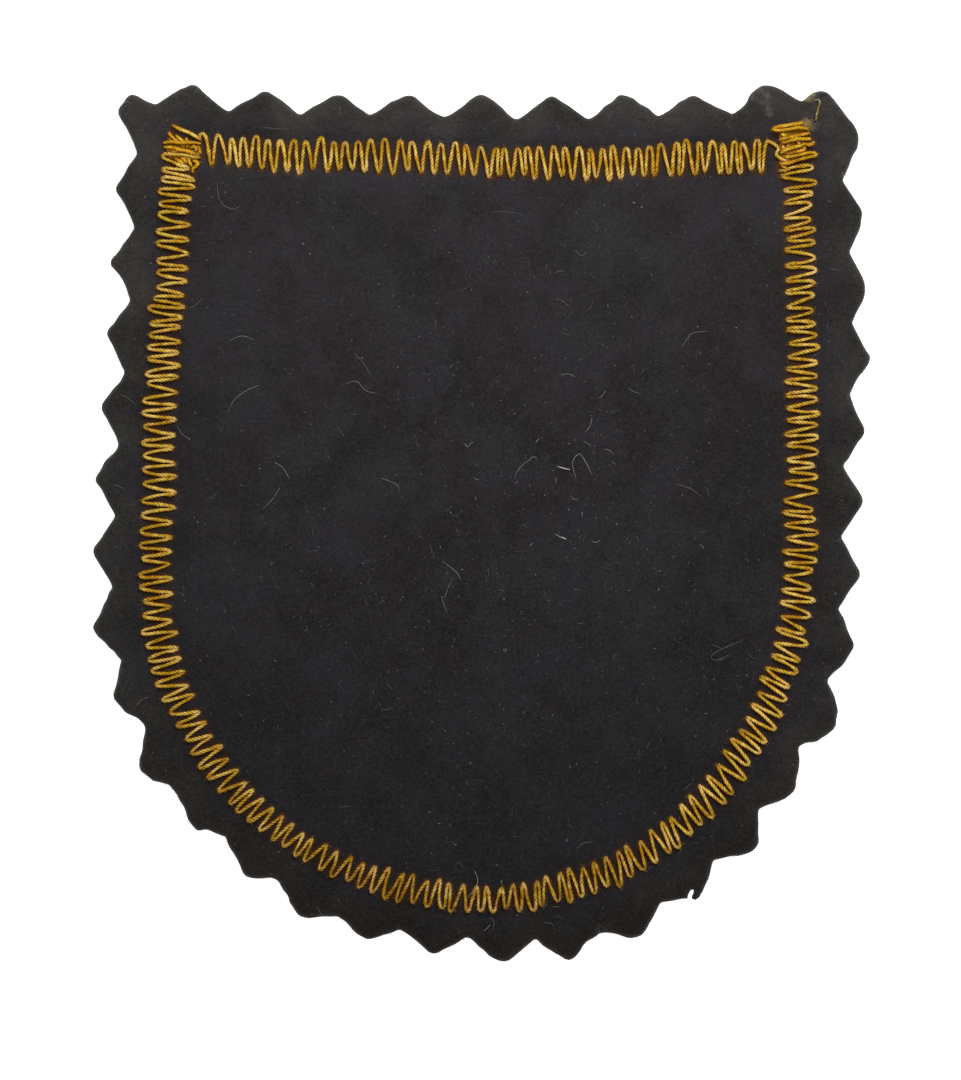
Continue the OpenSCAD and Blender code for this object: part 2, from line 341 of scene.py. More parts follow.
sideRow = {
    "stations": [
        (-26.6, 34.6), (-26.9, 29.7), (-27.9, 19.5), (-28.6, 9.0), (-28.9, -1.5), (-27.9, -12.0),
        (-23.4, -21.8), (-15.6, -28.7), (-6.0, -32.6), (4.2, -33.0), (13.8, -29.8), (21.2, -23.0),
        (26.1, -14.0), (28.1, -4.0), (28.3, 8.0), (28.2, 20.0), (27.9, 30.3), (27.9, 35.3)],
    "outerHand": 1,
    "startsInside": False,
    "outer": [
        2.3, 3.5, 4.35, 5.45, 6.55, 7.5, 9.0, 10.05, 11.6, 12.6, 13.9, 14.9, 15.8, 17.15, 18.15,
        19.25, 20.25, 21.6, 22.4, 23.95, 25.05, 26.25, 27.7, 28.8, 30.05, 31.3, 32.8, 34.05, 35.45, 36.7,
        37.85, 39.3, 40.35, 41.6, 42.8, 44.2, 45.4, 46.55, 47.55, 48.75, 50.15, 51.4, 52.65, 54.05,
        55.3, 56.65, 57.8, 59.2, 60.6, 61.55, 62.8, 64.05, 65.4, 66.45, 67.75, 68.7, 70.2, 71.35, 72.75,
        73.85, 75.05, 76.25, 77.35, 78.65, 79.9, 81.2, 81.95, 83.4, 84.5, 85.55, 86.7, 87.8, 89.0, 89.75,
        91.2, 92.2, 93.25, 94.4, 95.6, 96.6, 97.8, 99.0, 100.2, 101.6, 102.5, 104.0, 105.2, 106.3, 107.9,
        108.9, 110.5, 111.75, 113.1, 114.1, 115.45, 116.7, 118.1, 119.2, 120.6, 121.6, 123.1, 124.05, 125.5,
        126.85, 127.85, 129.4, 130.3, 131.45, 132.7, 133.85, 134.7, 136.35, 137.6, 138.6, 139.8, 141.1,
        142.2, 143.2, 144.45, 145.4, 146.5, 147.7, 149.05, 150.1, 151.1, 152.3, 153.65, 154.7, 155.85,
        156.95, 158.3, 159.4, 160.3, 161.6, 162.6, 163.55, 164.9],
    "outerReach": (
        "655755542102633" "434255342212234" "25524756665320" "232223222122230" "224412243230452"
        "1423162222422555" "72557753658468" "336663155266575" "5557542346556234" "85"),
    "inner": [
        3.2, 4.2, 4.8, 5.85, 7.0, 8.15, 9.5, 10.7, 12.0, 13.15, 14.45, 15.45, 16.4, 17.25, 18.6,
        19.55, 20.7, 21.7, 23.1, 24.3, 25.5, 26.9, 28.0, 29.4, 30.55, 32.0, 33.35, 34.7, 36.05,
        37.3, 38.4, 39.7, 41.05, 42.25, 43.55, 44.7, 46.15, 47.1, 48.4, 49.7, 50.7, 52.35, 53.45, 54.8,
        56.1, 57.45, 58.85, 60.25, 61.2, 62.45, 63.7, 64.85, 66.05, 67.3, 68.25, 69.65, 70.8, 72.2,
        73.45, 74.55, 75.8, 77.2, 78.15, 79.55, 80.65, 81.55, 82.9, 84.1, 85.0, 86.4, 87.45, 88.4, 89.65,
        90.55, 91.9, 92.8, 94.1, 95.2, 96.4, 97.7, 98.6, 100.0, 101.4, 102.7, 103.6, 105.1, 106.3, 107.6,
        108.7, 110.1, 111.5, 112.8, 113.9, 115.2, 116.5, 117.7, 119.1, 120.1, 121.4, 122.5, 123.85, 125.0,
        126.3, 127.4, 128.6, 129.8, 130.9, 132.1, 133.3, 134.45, 135.5, 137.1, 138.15, 139.1, 140.4, 141.35,
        142.6, 143.65, 144.8, 146.05, 147.15, 148.2, 149.4, 150.65, 151.5, 152.65, 153.95, 155.0, 156.3,
        157.7, 158.6, 159.5, 160.6, 161.85, 162.95, 164.2, 164.85],
    "innerReach": (
        "056425567767656" "57666665899966" "535522533324343" "64533322200212" "1253525221102225"
        "574555636535544" "25522325312303" "3336357651335334" "5321332333313322" "55"),
    "leadIn": [(201, 157.4), (185.7, 155.9), (173, 154.4)],
    "leadOut": [(778.7, 172.9)],
}

stitch = {
    "nearReach": 0.9,  # how far the middle of the thread reaches from the row's line at a turn called 0
    "reachStep": 0.1,
    # half the width of a turn: the outer ones are round, the inner ones pointed
    "outerHalf": (0.1, 0.19),
    "innerHalf": (0.05, 0.09),
    "outerDip": (0.05, 0.15),  # how far a turn is drawn down into the felt
    "innerDip": (0.22, 0.34),
    "sideDip": 0.35,  # share of the dip at the two sides of a turn
    "taper": 1.1,  # how far the two sides of a turn lie back, for each millimetre along the row
    "height": 1.52,  # middle of the thread above the table
    "arch": (0.03, 0.09),  # how far a leg bows up between its turns
    "waver": 0.04,
    "leadIn": 0.1,  # how far the thread's loose ends lie over the rest
    "leadOut": 0.05,
    "endDip": 0.15,  # and how far their tips go down
    "apart": 0.36,  # threads that lie closer than this push each other aside
    "backHeight": 0.2,
    "backDip": 0.1,
    "backHalf": 0.09,
    "backReach": 0.93,  # share of the reach of the needle thread
    "seed": 11,
    "backSeed": 21,
}


def routeLine(stations):
    p = np.asarray(stations, float)
    p = np.vstack([2 * p[0] - p[1], p, 2 * p[-1] - p[-2]])
    t = np.arange(24)[:, None] / 24
    parts = []
    for i in range(1, len(p) - 2):
        span = p[i + 1] - p[i]
        slack = p[i + 1] - p[i - 1]
        nextSlack = p[i + 2] - p[i]
        parts.append(p[i] + slack * t / 2 + (3 * span - slack - nextSlack / 2) * t ** 2
                     + ((slack + nextSlack) / 2 - 2 * span) * t ** 3)
    parts.append(p[-2:-1])
    return np.vstack(parts)


def alongRoute(line, place):
    # the point at a place along a route, and the direction to the right of it
    run = runOf(line)
    here, back, ahead = [np.array([np.interp(s, run, line[:, 0]), np.interp(s, run, line[:, 1])])
                         for s in (place, place - 0.2, place + 0.2)]
    way = (ahead - back) / np.linalg.norm(ahead - back)
    return here, np.array([way[1], -way[0]])


def turnsOf(row):
    # the turns in sewing order: place, hand and reach, and whether the turn is an outer one
    sets = []
    for key, hand in (("outer", row["outerHand"]), ("inner", -row["outerHand"])):
        reaches = [stitch["nearReach"] + stitch["reachStep"] * int(c) for c in row[key + "Reach"]]
        sets.append([(s, hand, r, key == "outer") for s, r in zip(row[key], reaches, strict=True)])
    if row["startsInside"]:
        sets.reverse()
    order = []
    for i in range(max(len(s) for s in sets)):
        order += sets[0][i:i + 1] + sets[1][i:i + 1]
    return order


def zigzag(row, rng):
    # the line of a row's needle thread: three points at each turn and one in the middle of each leg
    line = routeLine(row["stations"])
    height = stitch["height"]
    points = [(*atPixel(*p), height + stitch["leadIn"]) for p in row["leadIn"]]
    points[0] = (*points[0][:2], height - stitch["endDip"])
    legEnd = None
    for s, hand, reach, outer in turnsOf(row):
        half = rng.uniform(*stitch["outerHalf" if outer else "innerHalf"])
        dip = rng.uniform(*stitch["outerDip" if outer else "innerDip"])
        turn = []
        for offset, share in ((-half, stitch["sideDip"]), (0, 1), (half, stitch["sideDip"])):
            here, right = alongRoute(line, s + offset)
            x, y = here + right * hand * (reach - stitch["taper"] * abs(offset))
            turn.append((x, y, height - dip * share))
        if legEnd:
            middle = (np.array(legEnd) + turn[0]) / 2 + rng.normal(0, stitch["waver"], 3) * (1, 1, 0)
            middle[2] = height + rng.uniform(*stitch["arch"])
            points.append(tuple(middle))
        points += turn
        legEnd = turn[-1]
    points += [(*atPixel(*p), height + stitch["leadOut"]) for p in row["leadOut"]]
    points[-1] = (*points[-1][:2], height - stitch["endDip"])
    return points


# Corner tacks: strands charted as a layer (0 lies lowest) and the pixels that it passes through

leftTack = [
    (1, [(163.4, 143.6), (173, 142.8), (181, 144), (191, 143.4), (200.6, 143.6)]),
    (1, [(164, 147.6), (173.6, 148.6), (181, 150.8), (187, 151.6), (195.6, 154.6)]),
    (0, [(168.6, 132.6), (172.6, 137.6), (178.4, 142), (186, 146), (193, 148.4)]),
    (0, [(175.6, 135.2), (179.4, 139.8), (184, 143.8), (186.4, 148)]),
    (1, [(186.4, 138.6), (187.4, 142.6), (187, 147)]),
    (1, [(189.8, 148.4), (194.6, 147.4), (197.4, 149.4), (196.6, 152.4)]),
    (0, [(197.6, 145.6), (198.4, 150.4), (200.6, 155)]),
    (0, [(167.6, 151), (176, 152.2), (182.4, 155)]),
    (0, [(174, 157.8), (178.6, 160.7), (182.2, 161.8), (185.4, 165)]),
    (0, [(180.6, 157.4), (183, 160.7), (188.4, 162.6)]),
    (0, [(186.6, 158.6), (191, 163), (192.4, 168)]),
    (1, [(191.6, 161.2), (196.4, 162.4), (198.6, 164.4), (196.2, 167.4), (193.6, 169.4), (193, 173)]),
]
rightTack = [
    (2, [(802.3, 124.2), (791.4, 126.8), (783, 128.2), (774, 129.4), (771.2, 130.8), (774, 131.8),
         (785.7, 130.8), (796, 129.4), (807, 130.6)]),
    (1, [(778.7, 141.4), (783.7, 139.2), (794.6, 137.6), (809.3, 134)]),
    (2, [(780.6, 143.6), (794.6, 141), (810, 140.4)]),
    (0, [(781, 147), (792, 147.5), (802.3, 145.5), (810, 145.8), (813.8, 142.4)]),
    (1, [(782, 134.6), (783, 138.6), (787.4, 137.4)]),
    (1, [(783.4, 145.8), (782.6, 150), (787, 149.4)]),
    (0, [(782, 132.5), (785, 138), (788, 146), (783, 152)]),
    (2, [(779.4, 154.4), (783.7, 151.7), (795.3, 148.3), (802, 145.8)]),
    (1, [(783.2, 158.9), (794.6, 157), (804.8, 154.4), (813.8, 154.2), (815.3, 155.7), (813.8, 157.2),
         (807.4, 158.5), (794.6, 162.1), (780.6, 166.5)]),
    (0, [(780, 160), (782, 168), (790, 170)]),
    (0, [(779, 150), (792, 153.5), (802, 150), (800, 143)]),
    (0, [(786, 136), (797, 143), (801, 151), (790, 157)]),
]
# the passes that fill each tack from below: its four corners, from top left clockwise, and how many passes
tackFills = {
    "left": ([(168, 139), (198, 144), (198, 159), (168.5, 156)], 7),
    "right": ([(780.5, 134), (803, 132), (802, 160), (780.5, 166)], 15),
}
tackLook = {
    "base": 1.5,
    "layer": 0.24,
    "bow": 0.06,
    "endDip": 0.22,
    "fillDrop": 0.12,  # how far the filling lies under the lowest layer
    "fillBow": 0.03,
    "fillDip": 0.1,
}


def tackLines(chart):
    lines = []
    for layer, pixels in chart:
        height = tackLook["base"] + tackLook["layer"] * layer
        points = [(*atPixel(*p), height + tackLook["bow"]) for p in pixels]
        for end in (0, -1):
            points[end] = (*points[end][:2], height - tackLook["endDip"])
        lines.append(points)
    return lines


def fillLine(fill):
    # one thread to and fro across a tack, under the strands that are charted
    corners, passes = fill
    topLeft, topRight, lowRight, lowLeft = [np.array(atPixel(*p)) for p in corners]
    height = tackLook["base"] - tackLook["fillDrop"]
    points = []
    for i in range(passes):
        share = i / (passes - 1)
        ends = [topLeft + (lowLeft - topLeft) * share, topRight + (lowRight - topRight) * share]
        if i % 2:
            ends.reverse()
        dipped = height - tackLook["fillDip"]
        points += [(*ends[0], dipped), (*(sum(ends) / 2), height + tackLook["fillBow"]), (*ends[1], dipped)]
    return points


settling = {
    "step": 0.18,  # distance between the points of a thread
    "rounds": 36,
    "relist": 6,  # rounds after which the near pairs are listed anew
    "margin": 0.25,  # pairs are listed when this much further apart than touching
    "ownGap": 1.1,  # points of one thread push each other when this far apart along it
    "push": 0.5,
    "rise": 0.7,  # share of a push that goes up or down
    "home": 0.05,  # share of the way back that a point is drawn in a round
    "floor": 1.22,  # lowest that the middle of a thread may go
}


def settle(strands):
    # threads that overlap push each other aside, and are drawn back softly to where they were charted
    apart = stitch["apart"]
    points = np.concatenate(strands)
    home = points.copy()
    owner = np.concatenate([np.full(len(s), i) for i, s in enumerate(strands)])
    run = np.concatenate([runOf(s) for s in strands])
    starts = np.cumsum([0] + [len(s) for s in strands])
    for step in range(settling["rounds"]):
        if step % settling["relist"] == 0:
            tree = treeOf(points)
            pairs = [(i, j) for i in range(len(points))
                     for _, j, _ in tree.find_range(points[i], apart + settling["margin"])
                     if i < j and (owner[i] != owner[j] or abs(run[i] - run[j]) > settling["ownGap"])]
            a, b = np.array(pairs).T
        gap = points[a] - points[b]
        far = np.linalg.norm(gap, axis=1, keepdims=True)
        push = gap / np.maximum(far, 0.02) * np.maximum(apart - far, 0) * settling["push"]
        push[:, 2] *= settling["rise"]
        move = np.zeros_like(points)
        times = np.zeros((len(points), 1))
        for index, sign in ((a, 1), (b, -1)):
            np.add.at(move, index, sign * push)
            np.add.at(times, index, (far < apart) * 1.0)
        move /= np.maximum(times, 1) ** 0.5
        for first, last in zip(starts[:-1], starts[1:]):
            part = move[first:last]
            for _ in range(2):
                padded = np.vstack([part[:1], part, part[-1:]])
                part = (padded[:-2] + 2 * padded[1:-1] + padded[2:]) / 4
            move[first:last] = part
        points = points + move + settling["home"] * (home - points)
        points[:, 2] = np.maximum(points[:, 2], settling["floor"])
    return [points[first:last] for first, last in zip(starts[:-1], starts[1:])]


rng = np.random.default_rng(stitch["seed"])
drawnLines = [zigzag(topRow, rng), zigzag(sideRow, rng)] + tackLines(leftTack) + tackLines(rightTack)
settled = settle([smoothLine(line, settling["step"]) for line in drawnLines])
topLine, sideLine = settled[:2]
leftFill, rightFill = [smoothLine(fillLine(tackFills[side]), settling["step"]) for side in ("left", "right")]
leftLines = settled[2:2 + len(leftTack)] + [leftFill]
rightLines = settled[2 + len(leftTack):] + [rightFill]
print("threads laid:", sum(round(runOf(line)[-1]) for line in settled), "mm on the face")


# The felt's form

feltForm = {
    "thick": 1.5,
    "voxel": 0.26,
    "backKept": 0.66,  # share of the triangles that is left when the underside is thinned out
    "rim": 0.42,  # radius that rounds the cut edge
    "rimKeep": 0.7,  # share of the thickness that is left at the very edge
    "press": 0.17,  # how far the stitching presses the face in
    "backPress": 0.36,
    "pressHalf": 1.35,  # half the width of the pressed band
    "pressSide": 0.8,  # width of the slope beside it
    "groove": 0.1,  # deeper still beside each thread
    "wave": 0.035,  # height of the wide bumps on the face
    "pitting": 0.018,  # and of the fine ones
    "undulation": 0.1,  # how far the whole patch comes up here and there
    "ripple": 0.045,  # how far the cut edge wanders
    "nudgeReach": 0.62,  # how far along the cut a stray of the chart works
    "biteReach": 0.2,  # the same for the strays round the bite
    "nudgeDepth": 2.2,  # how far in from the cut it works
    "wallShare": 0.8,  # a face of the solid that is this share of the thickness high is part of the cut
    "wallEnds": 0.2,  # the cut's rounded top and bottom
    "wallNear": 0.3,
    "snapFrom": 0.26,  # points nearer to the cut than this are drawn to it
    "snapOver": 0.14,
    "backTo": 0.45,  # height up to which a point belongs to the back
    "faceOver": 0.8,
    "sideFrom": 0.45,  # points nearer to the cut than this keep their share of the height
    "sideOver": 0.2,
    "grooveHalf": 0.38,  # half the width of the groove beside a thread
    "backGroove": 0.2,  # share of the press on the back that follows the threads
    "backBumps": 0.03,
    "rimRise": 0.1,  # how far the back's rim is rounded up
    "crowdReach": 0.3,  # how far the painted glow of a thread on the felt reaches
    "crowdFrom": 0.5,
    "crowdOver": 3.1,
    "margin": (2.6, 1.6),  # width of the margin along the cut, and of its soft inner side
    "marginWander": 0.36,
    # x and y of a corner that has come up from the table, how far, and how far in it reaches
    "raised": [((-31, 37), 0.4, 12), ((31, 36), 0.7, 12), ((22, -31), 0.25, 14), ((-30, -18), 0.2, 14)],
}

# where the cut strays from an even row of teeth: the pixel, and how many pixels right and down, read one by
# one
edgeStrays = [
    # top
    ((121, 110), (-2.2, 0)), ((122, 119), (-1.2, 0)), ((131.5, 96), (-1, -1.5)),
    ((155, 106), (-1.2, -2.2)), ((164, 102), (-1.5, -1.8)), ((171, 98), (-1.5, -2.6)),
    ((180, 93), (-1.2, -2.6)), ((193, 88), (0, -1.8)), ((240, 121), (0.7, 0.8)), ((322, 113), (-1, -1.8)),
    ((337, 95), (0, 2.2)), ((346, 109), (-0.8, 1.2)), ((371, 116), (-3, -1)), ((381, 112), (-1.5, -2.3)),
    ((391, 106), (-1.6, -1.4)), ((444, 117), (0, -1.2)), ((472, 101), (-0.5, -1.8)),
    ((481, 97.5), (0, -2.6)), ((492, 101), (1, -2)), ((501, 107), (0.8, -1.2)), ((551, 97.5), (0, -1.9)),
    ((606, 107), (-1, -1)), ((621, 97), (-1.5, -2.7)), ((633, 101), (0.5, -1.8)),
    ((646, 109), (0.8, -1.6)), ((660, 117), (-2.3, -1.4)), ((671, 111), (-1.8, -1.5)),
    ((679, 103.5), (-1.6, -2.2)), ((693, 96), (-1.5, 0)), ((703, 98), (-1.5, 1)), ((755, 95), (-2, -1.2)),
    ((761, 88.5), (-1.5, -2)), ((801, 101), (1, 0.8)), ((806, 97.5), (-1.2, -0.8)),
    ((809, 96), (-1.2, -2)), ((858, 133), (-1.8, 0)), ((856, 148), (2, 0.8)),
    # right side
    ((862, 216), (-1.3, -1)), ((859, 228), (1.3, 0)), ((866.5, 287), (-2, 0)), ((868, 359), (1.8, -1)),
    ((866, 370), (1.6, 0)), ((843, 620), (1, 0)), ((836, 673), (-3.4, 0)), ((831, 681), (-3.4, 0)),
    ((833, 700), (2, 0)), ((834, 711), (4, 0)), ((833, 725), (2, 1.6)), ((826, 731), (1, 2.6)),
    ((815, 738), (1, 2.6)), ((797, 750), (-1.3, 0)), ((797, 783), (-1.2, 0)), ((793, 792), (-1.8, -1.2)),
    ((755.5, 843), (2.3, 1.2)), ((750, 850), (0.6, 3)), ((740, 854), (0, 2.4)),
    # bottom
    ((647, 925), (-1.2, 0)), ((630, 935), (0, 2)), ((577, 951.5), (1.5, 1)), ((567, 956), (1, 3.4)),
    ((555, 951), (0, 2.2)), ((545, 944), (-1, 1.6)), ((535, 939), (2, 0)), ((526, 943), (2, 1.6)),
    ((517.5, 949), (2.5, 2.6)), ((510, 955), (2.5, 2.6)), ((501, 958), (1.4, 2.4)),
    ((492, 954), (-2.2, 2.6)), ((588, 941), (-1, -1.3)), ((646, 931), (-1.5, -0.6)),
    ((482, 945), (-1, 1.5)), ((462, 939), (-0.6, -1.2)), ((402, 930), (-2.5, 0.4)),
    ((706, 887), (-2.6, 0)), ((382, 937), (-0.5, -2)), ((372, 941.5), (0, -3)), ((363, 941), (1, -2)),
    ((341, 914), (-0.5, 2)), ((330, 914), (0, 2)), ((320, 914.5), (0, 1.4)), ((312, 915), (0, 2.8)),
    ((301, 912), (-3, 2.6)), ((294, 903), (-3.4, 1)), ((285, 888), (-2.2, 1)), ((280, 878), (-2, 2)),
    # left side
    ((232, 845), (-1, 0)), ((205, 833), (0.5, -2.8)), ((192, 827), (2, -2)), ((181.5, 800), (-2.5, 0)),
    ((178, 787), (-4, 1.6)), ((155, 777), (-1, 3.5)), ((143, 769), (-3, 0.6)), ((142.3, 760), (-3, 0)),
    ((163, 781), (-0.5, 1.5)), ((140, 742), (-1.2, 0)), ((145.5, 726), (-0.5, 3)), ((117, 708), (2, -2)),
    ((114.5, 697), (-1, -2.6)), ((122, 668), (-1.8, 0)), ((119, 679), (-1.4, 0)), ((116, 688), (-1.4, 0)),
    ((110, 647), (-2, 2.6)), ((121, 655), (-3, 2.2)), ((101, 639), (-1, 1)), ((97, 626), (-3.4, 0)),
    ((98, 615), (-1.6, -0.8)), ((104, 607), (-2.3, -1.2)), ((111, 594), (-2, 0)),
    ((96.5, 548), (-1.3, 0)), ((98, 480), (-2.8, 0)), ((119, 443), (-2, 0)), ((103.7, 409), (-1.1, 0)),
    ((125.3, 371), (-1.2, -1)), ((109, 332), (-1.3, -0.5)), ((131.7, 298), (-0.8, 0)),
    ((128, 164), (-1, -0.8)), ((122, 245), (-1, -0.6)), ((119, 315), (-1.2, -0.8)),
    ((113, 389), (-1.2, -0.6)), ((106, 462), (-1, -0.8)), ((114, 262), (-2.3, 0)),
    ((135, 227), (-1.7, 0.5)), ((118.5, 189), (-1.3, 0)), ((137, 152), (-0.8, 0)),
]

# the same, closer together, round the small bite at the lower right
biteStrays = [
    ((685, 897.5), (-1.5, 1)), ((688, 896.5), (-2, 1.5)), ((690.5, 892), (-0.5, -1.2)),
    ((693, 891.5), (0.3, -2)), ((695.7, 892), (-0.2, -1.8)), ((697, 894), (-2, -0.5)),
    ((698.5, 896.4), (-6, 2.6)), ((701.5, 897.5), (-4.4, 1.6)), ((704.5, 894), (-4, 1)),
    ((706.5, 890.5), (-1.4, 0.2)),
]

waveNoise = ripples(seed=3, size=4.5)
pittingNoise = ripples(seed=5, size=1.1)
backNoise = ripples(seed=7, size=2.4)
undulationNoise = ripples(seed=9, size=16, waves=12)
edgeNoise = ripples(seed=13, size=1.5)
routeTree = treeOf(np.vstack([evenly(routeLine(row["stations"]), 0.25) for row in (topRow, sideRow)]))


def strayAt(wall, normal):
    # how far the cut lies from the even outline, for points of that outline and their outward directions
    move = normal * feltForm["ripple"] * edgeNoise(wall)[:, None]
    for strays, reach in ((edgeStrays, feltForm["nudgeReach"]), (biteStrays, feltForm["biteReach"])):
        spots = np.array([atPixel(*pixel) for pixel, _ in strays])
        moves = np.array([(dx, -dy) for _, (dx, dy) in strays]) / photo["pixelsPerMm"]
        away = np.linalg.norm(wall[:, None] - spots, axis=2)
        share = np.exp(-(away / reach) ** 2)
        move = move + share @ moves / np.maximum(share.sum(axis=1, keepdims=True), 1)
    return move


def raisedAt(xy):
    # how far the patch has come up from the table
    lift = feltForm["undulation"] * np.clip(0.5 + 0.5 * undulationNoise(xy), 0, 1)
    for corner, height, reach in feltForm["raised"]:
        away = np.linalg.norm(xy - corner, axis=1) / reach
        lift = lift + height * np.exp(-away ** 2 * 1.6)
    return lift


def pressedAt(xy):
    # 1 under the stitching, and 0 clear of it
    away = distancesTo(routeTree, xy)
    t = np.clip((feltForm["pressHalf"] + feltForm["pressSide"] - away) / feltForm["pressSide"], 0, 1)
    return t * t * (3 - 2 * t)


def faceAt(xy, pressed=None):
    # height of the face over the table, without the lift
    pressed = pressedAt(xy) if pressed is None else pressed
    return (feltForm["thick"] - feltForm["press"] * pressed + feltForm["wave"] * waveNoise(xy)
            + feltForm["pitting"] * pittingNoise(xy))


def lifted(verts):
    # points of the finished patch as they lie on the table
    verts = np.array(verts, float)
    verts[:, 2] += raisedAt(verts[:, :2])
    return verts


def crowding(tree, xy):
    # how closely threads lie round each point: about 1.5 beside one leg, and more between two
    reach = feltForm["crowdReach"]
    return np.array([sum(math.exp(-(away / reach) ** 2)
                         for _, _, away in tree.find_range((x, y, 0), 2 * reach)) for x, y in xy])


def cutOf(mesh):
    # closes the loose triangles of a solid and finds the upright wall along its cut
    work = bmesh.new()
    work.from_mesh(mesh)
    bmesh.ops.remove_doubles(work, verts=work.verts, dist=1e-7)
    work.to_mesh(mesh)
    tall = feltForm["wallShare"] * feltForm["thick"] * mm
    walls = [f for f in work.faces if max(v.co.z for v in f.verts) - min(v.co.z for v in f.verts) > tall]
    wallVerts = [tuple(v.co / mm) for f in walls for v in f.verts]
    sizes = np.cumsum([0] + [len(f.verts) for f in walls])
    tree = BVHTree.FromPolygons(wallVerts, [list(range(i, j)) for i, j in zip(sizes[:-1], sizes[1:])])
    work.free()
    return tree


def makeFelt(material):
    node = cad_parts["felt_shield"]
    felt = bpy.data.objects.new("felt", node.data.copy())
    bpy.context.collection.objects.link(felt)
    felt.data.materials.clear()
    felt.data.materials.append(material)
    wallTree = cutOf(felt.data)
    bpy.ops.object.select_all(action="DESELECT")
    felt.select_set(True)
    bpy.context.view_layer.objects.active = felt
    remesh = felt.modifiers.new("even", "REMESH")
    remesh.mode = "VOXEL"
    remesh.voxel_size = feltForm["voxel"] * mm
    bpy.ops.object.modifier_apply(modifier=remesh.name)
    mesh = felt.data
    verts = np.empty(len(mesh.vertices) * 3, np.float32)
    mesh.vertices.foreach_get("co", verts)
    verts = verts.reshape(-1, 3).astype(float) / mm
    thick = feltForm["thick"]
    found = [wallTree.find_nearest((x, y, thick / 2)) for x, y, _ in verts]
    edge = np.array([f[3] for f in found])
    wall = np.array([tuple(f[0])[:2] for f in found])
    normal = np.array([tuple(f[1])[:2] for f in found])
    # the points of the wall go right to the cut, and the next ones half way
    ends = feltForm["wallEnds"]
    onWall = (verts[:, 2] > ends) & (verts[:, 2] < thick - ends) & (edge < feltForm["wallNear"])
    draw = np.maximum(np.clip((feltForm["snapFrom"] - edge) / feltForm["snapOver"], 0, 1), onWall)[:, None]
    verts[:, :2] += (wall - verts[:, :2]) * draw
    edge *= 1 - draw[:, 0]
    stray = strayAt(wall, normal)
    wall = wall + stray
    verts[:, :2] += stray * np.clip(1 - edge / feltForm["nudgeDepth"], 0, 1)[:, None] ** 2
    # 0 on the back and 1 on the face, with all heights between them only along the cut
    level = np.clip((verts[:, 2] - feltForm["backTo"]) / feltForm["faceOver"], 0, 1)
    nearWall = np.clip((feltForm["sideFrom"] - edge) / feltForm["sideOver"], 0, 1)
    level = level + nearWall * (np.clip(verts[:, 2] / thick, 0, 1) - level)
    xy = verts[:, :2].copy()
    pressed = pressedAt(xy)
    threadTree = treeOf(np.vstack([line[:, :2] for line in settled]))
    thread = distancesTo(threadTree, xy)
    groove = np.exp(-(thread / feltForm["grooveHalf"]) ** 2)
    face = faceAt(xy, pressed) - feltForm["groove"] * groove
    back = feltForm["backPress"] * pressed * (1 - feltForm["backGroove"] + feltForm["backGroove"] * groove)
    back = back + feltForm["backBumps"] * np.clip(backNoise(xy), 0, 2)
    inward = np.clip(edge / feltForm["rim"], 0, 1)
    curve = np.sqrt(np.clip(1 - (1 - inward) ** 2, 0, 1))
    keep = feltForm["rimKeep"] + (1 - feltForm["rimKeep"]) * curve
    bottom = back + feltForm["rimRise"] * (1 - curve)
    verts[:, 2] = bottom + level * (face * keep - bottom)
    verts = lifted(verts)
    mesh.vertices.foreach_set("co", (verts * mm).astype(np.float32).ravel())
    # share of the painted reflected light of the gold thread on the felt, most between two legs
    near = np.clip((crowding(threadTree, xy) - feltForm["crowdFrom"]) / feltForm["crowdOver"], 0, 1)
    width, soft = feltForm["margin"]
    outside = np.clip((width + feltForm["marginWander"] * waveNoise(xy) - edge) / soft, 0, 1)
    addValues(mesh, stitchNear=near, margin=outside, upper=level)
    mesh.update()
    underside = felt.vertex_groups.new(name="underside")
    underside.add(np.flatnonzero((level < 0.03) & (edge > 0.5)).tolist(), 1.0, "REPLACE")
    thinned = felt.modifiers.new("thinned", "DECIMATE")
    thinned.ratio = feltForm["backKept"]
    thinned.vertex_group = "underside"
    bpy.ops.object.modifier_apply(modifier=thinned.name)
    mesh = felt.data
    mesh.shade_smooth()
    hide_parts("felt_shield")
    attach(felt, "root")
    mesh.calc_loop_triangles()
    print("felt:", len(mesh.loop_triangles), "triangles")
    return {"xy": xy, "edge": edge, "level": level, "wall": wall, "normal": normal}


# Finishes

feltTones = {
    "brown": (0.0252, 0.0208, 0.0208),
    "blue": (0.0216, 0.0192, 0.0245),
    "olive": (0.0228, 0.0214, 0.0204),
    "marginHigh": (0.031, 0.028, 0.0243),  # along the top edge and the sides, lighter as a painted light falloff
    "marginLow": (0.0262, 0.0182, 0.0125),  # along the bottom edge, browner and darker, the darkness a painted light falloff
    "threadGlowHigh": (0.136, 0.048, 0.007),  # painted reflected light of the gold thread on the felt beside the stitching of the top edge, lighter there as a painted light falloff
    "threadGlowLow": (0.1, 0.034, 0.004),  # the same painted reflected light beside the stitching of the bottom edge
    "bright": 1.47,  # painted light falloff: the felt's tone at the top edge
    "dull": 0.66,  # and its painted shade at the bottom edge
    "worn": (0.135, 0.118, 0.112),
    # pixels of the photo at the middle of worn spots, and their radius in millimetres
    "wornSpots": [
        ((753, 98), 0.45), ((762, 93), 0.6), ((764, 101), 0.75), ((768, 109), 0.6), ((769, 116), 0.3)],
    "wornSlant": -1.28,  # the way that the worn streaks run, in radians from the right
    "wornStretch": (3.4, 0.8, 1),
    "soiled": (0.19, 0.155, 0.08),
    "soiledSpots": [((810, 97.5), 0.5), ((813.5, 96.5), 0.3), ((807, 99.5), 0.3), ((760, 87), 0.35)],
    "stained": (0.02, 0.009, 0.013),
    "stainedSpots": [((821, 96), 0.5), ((824.5, 96), 0.4)],
}
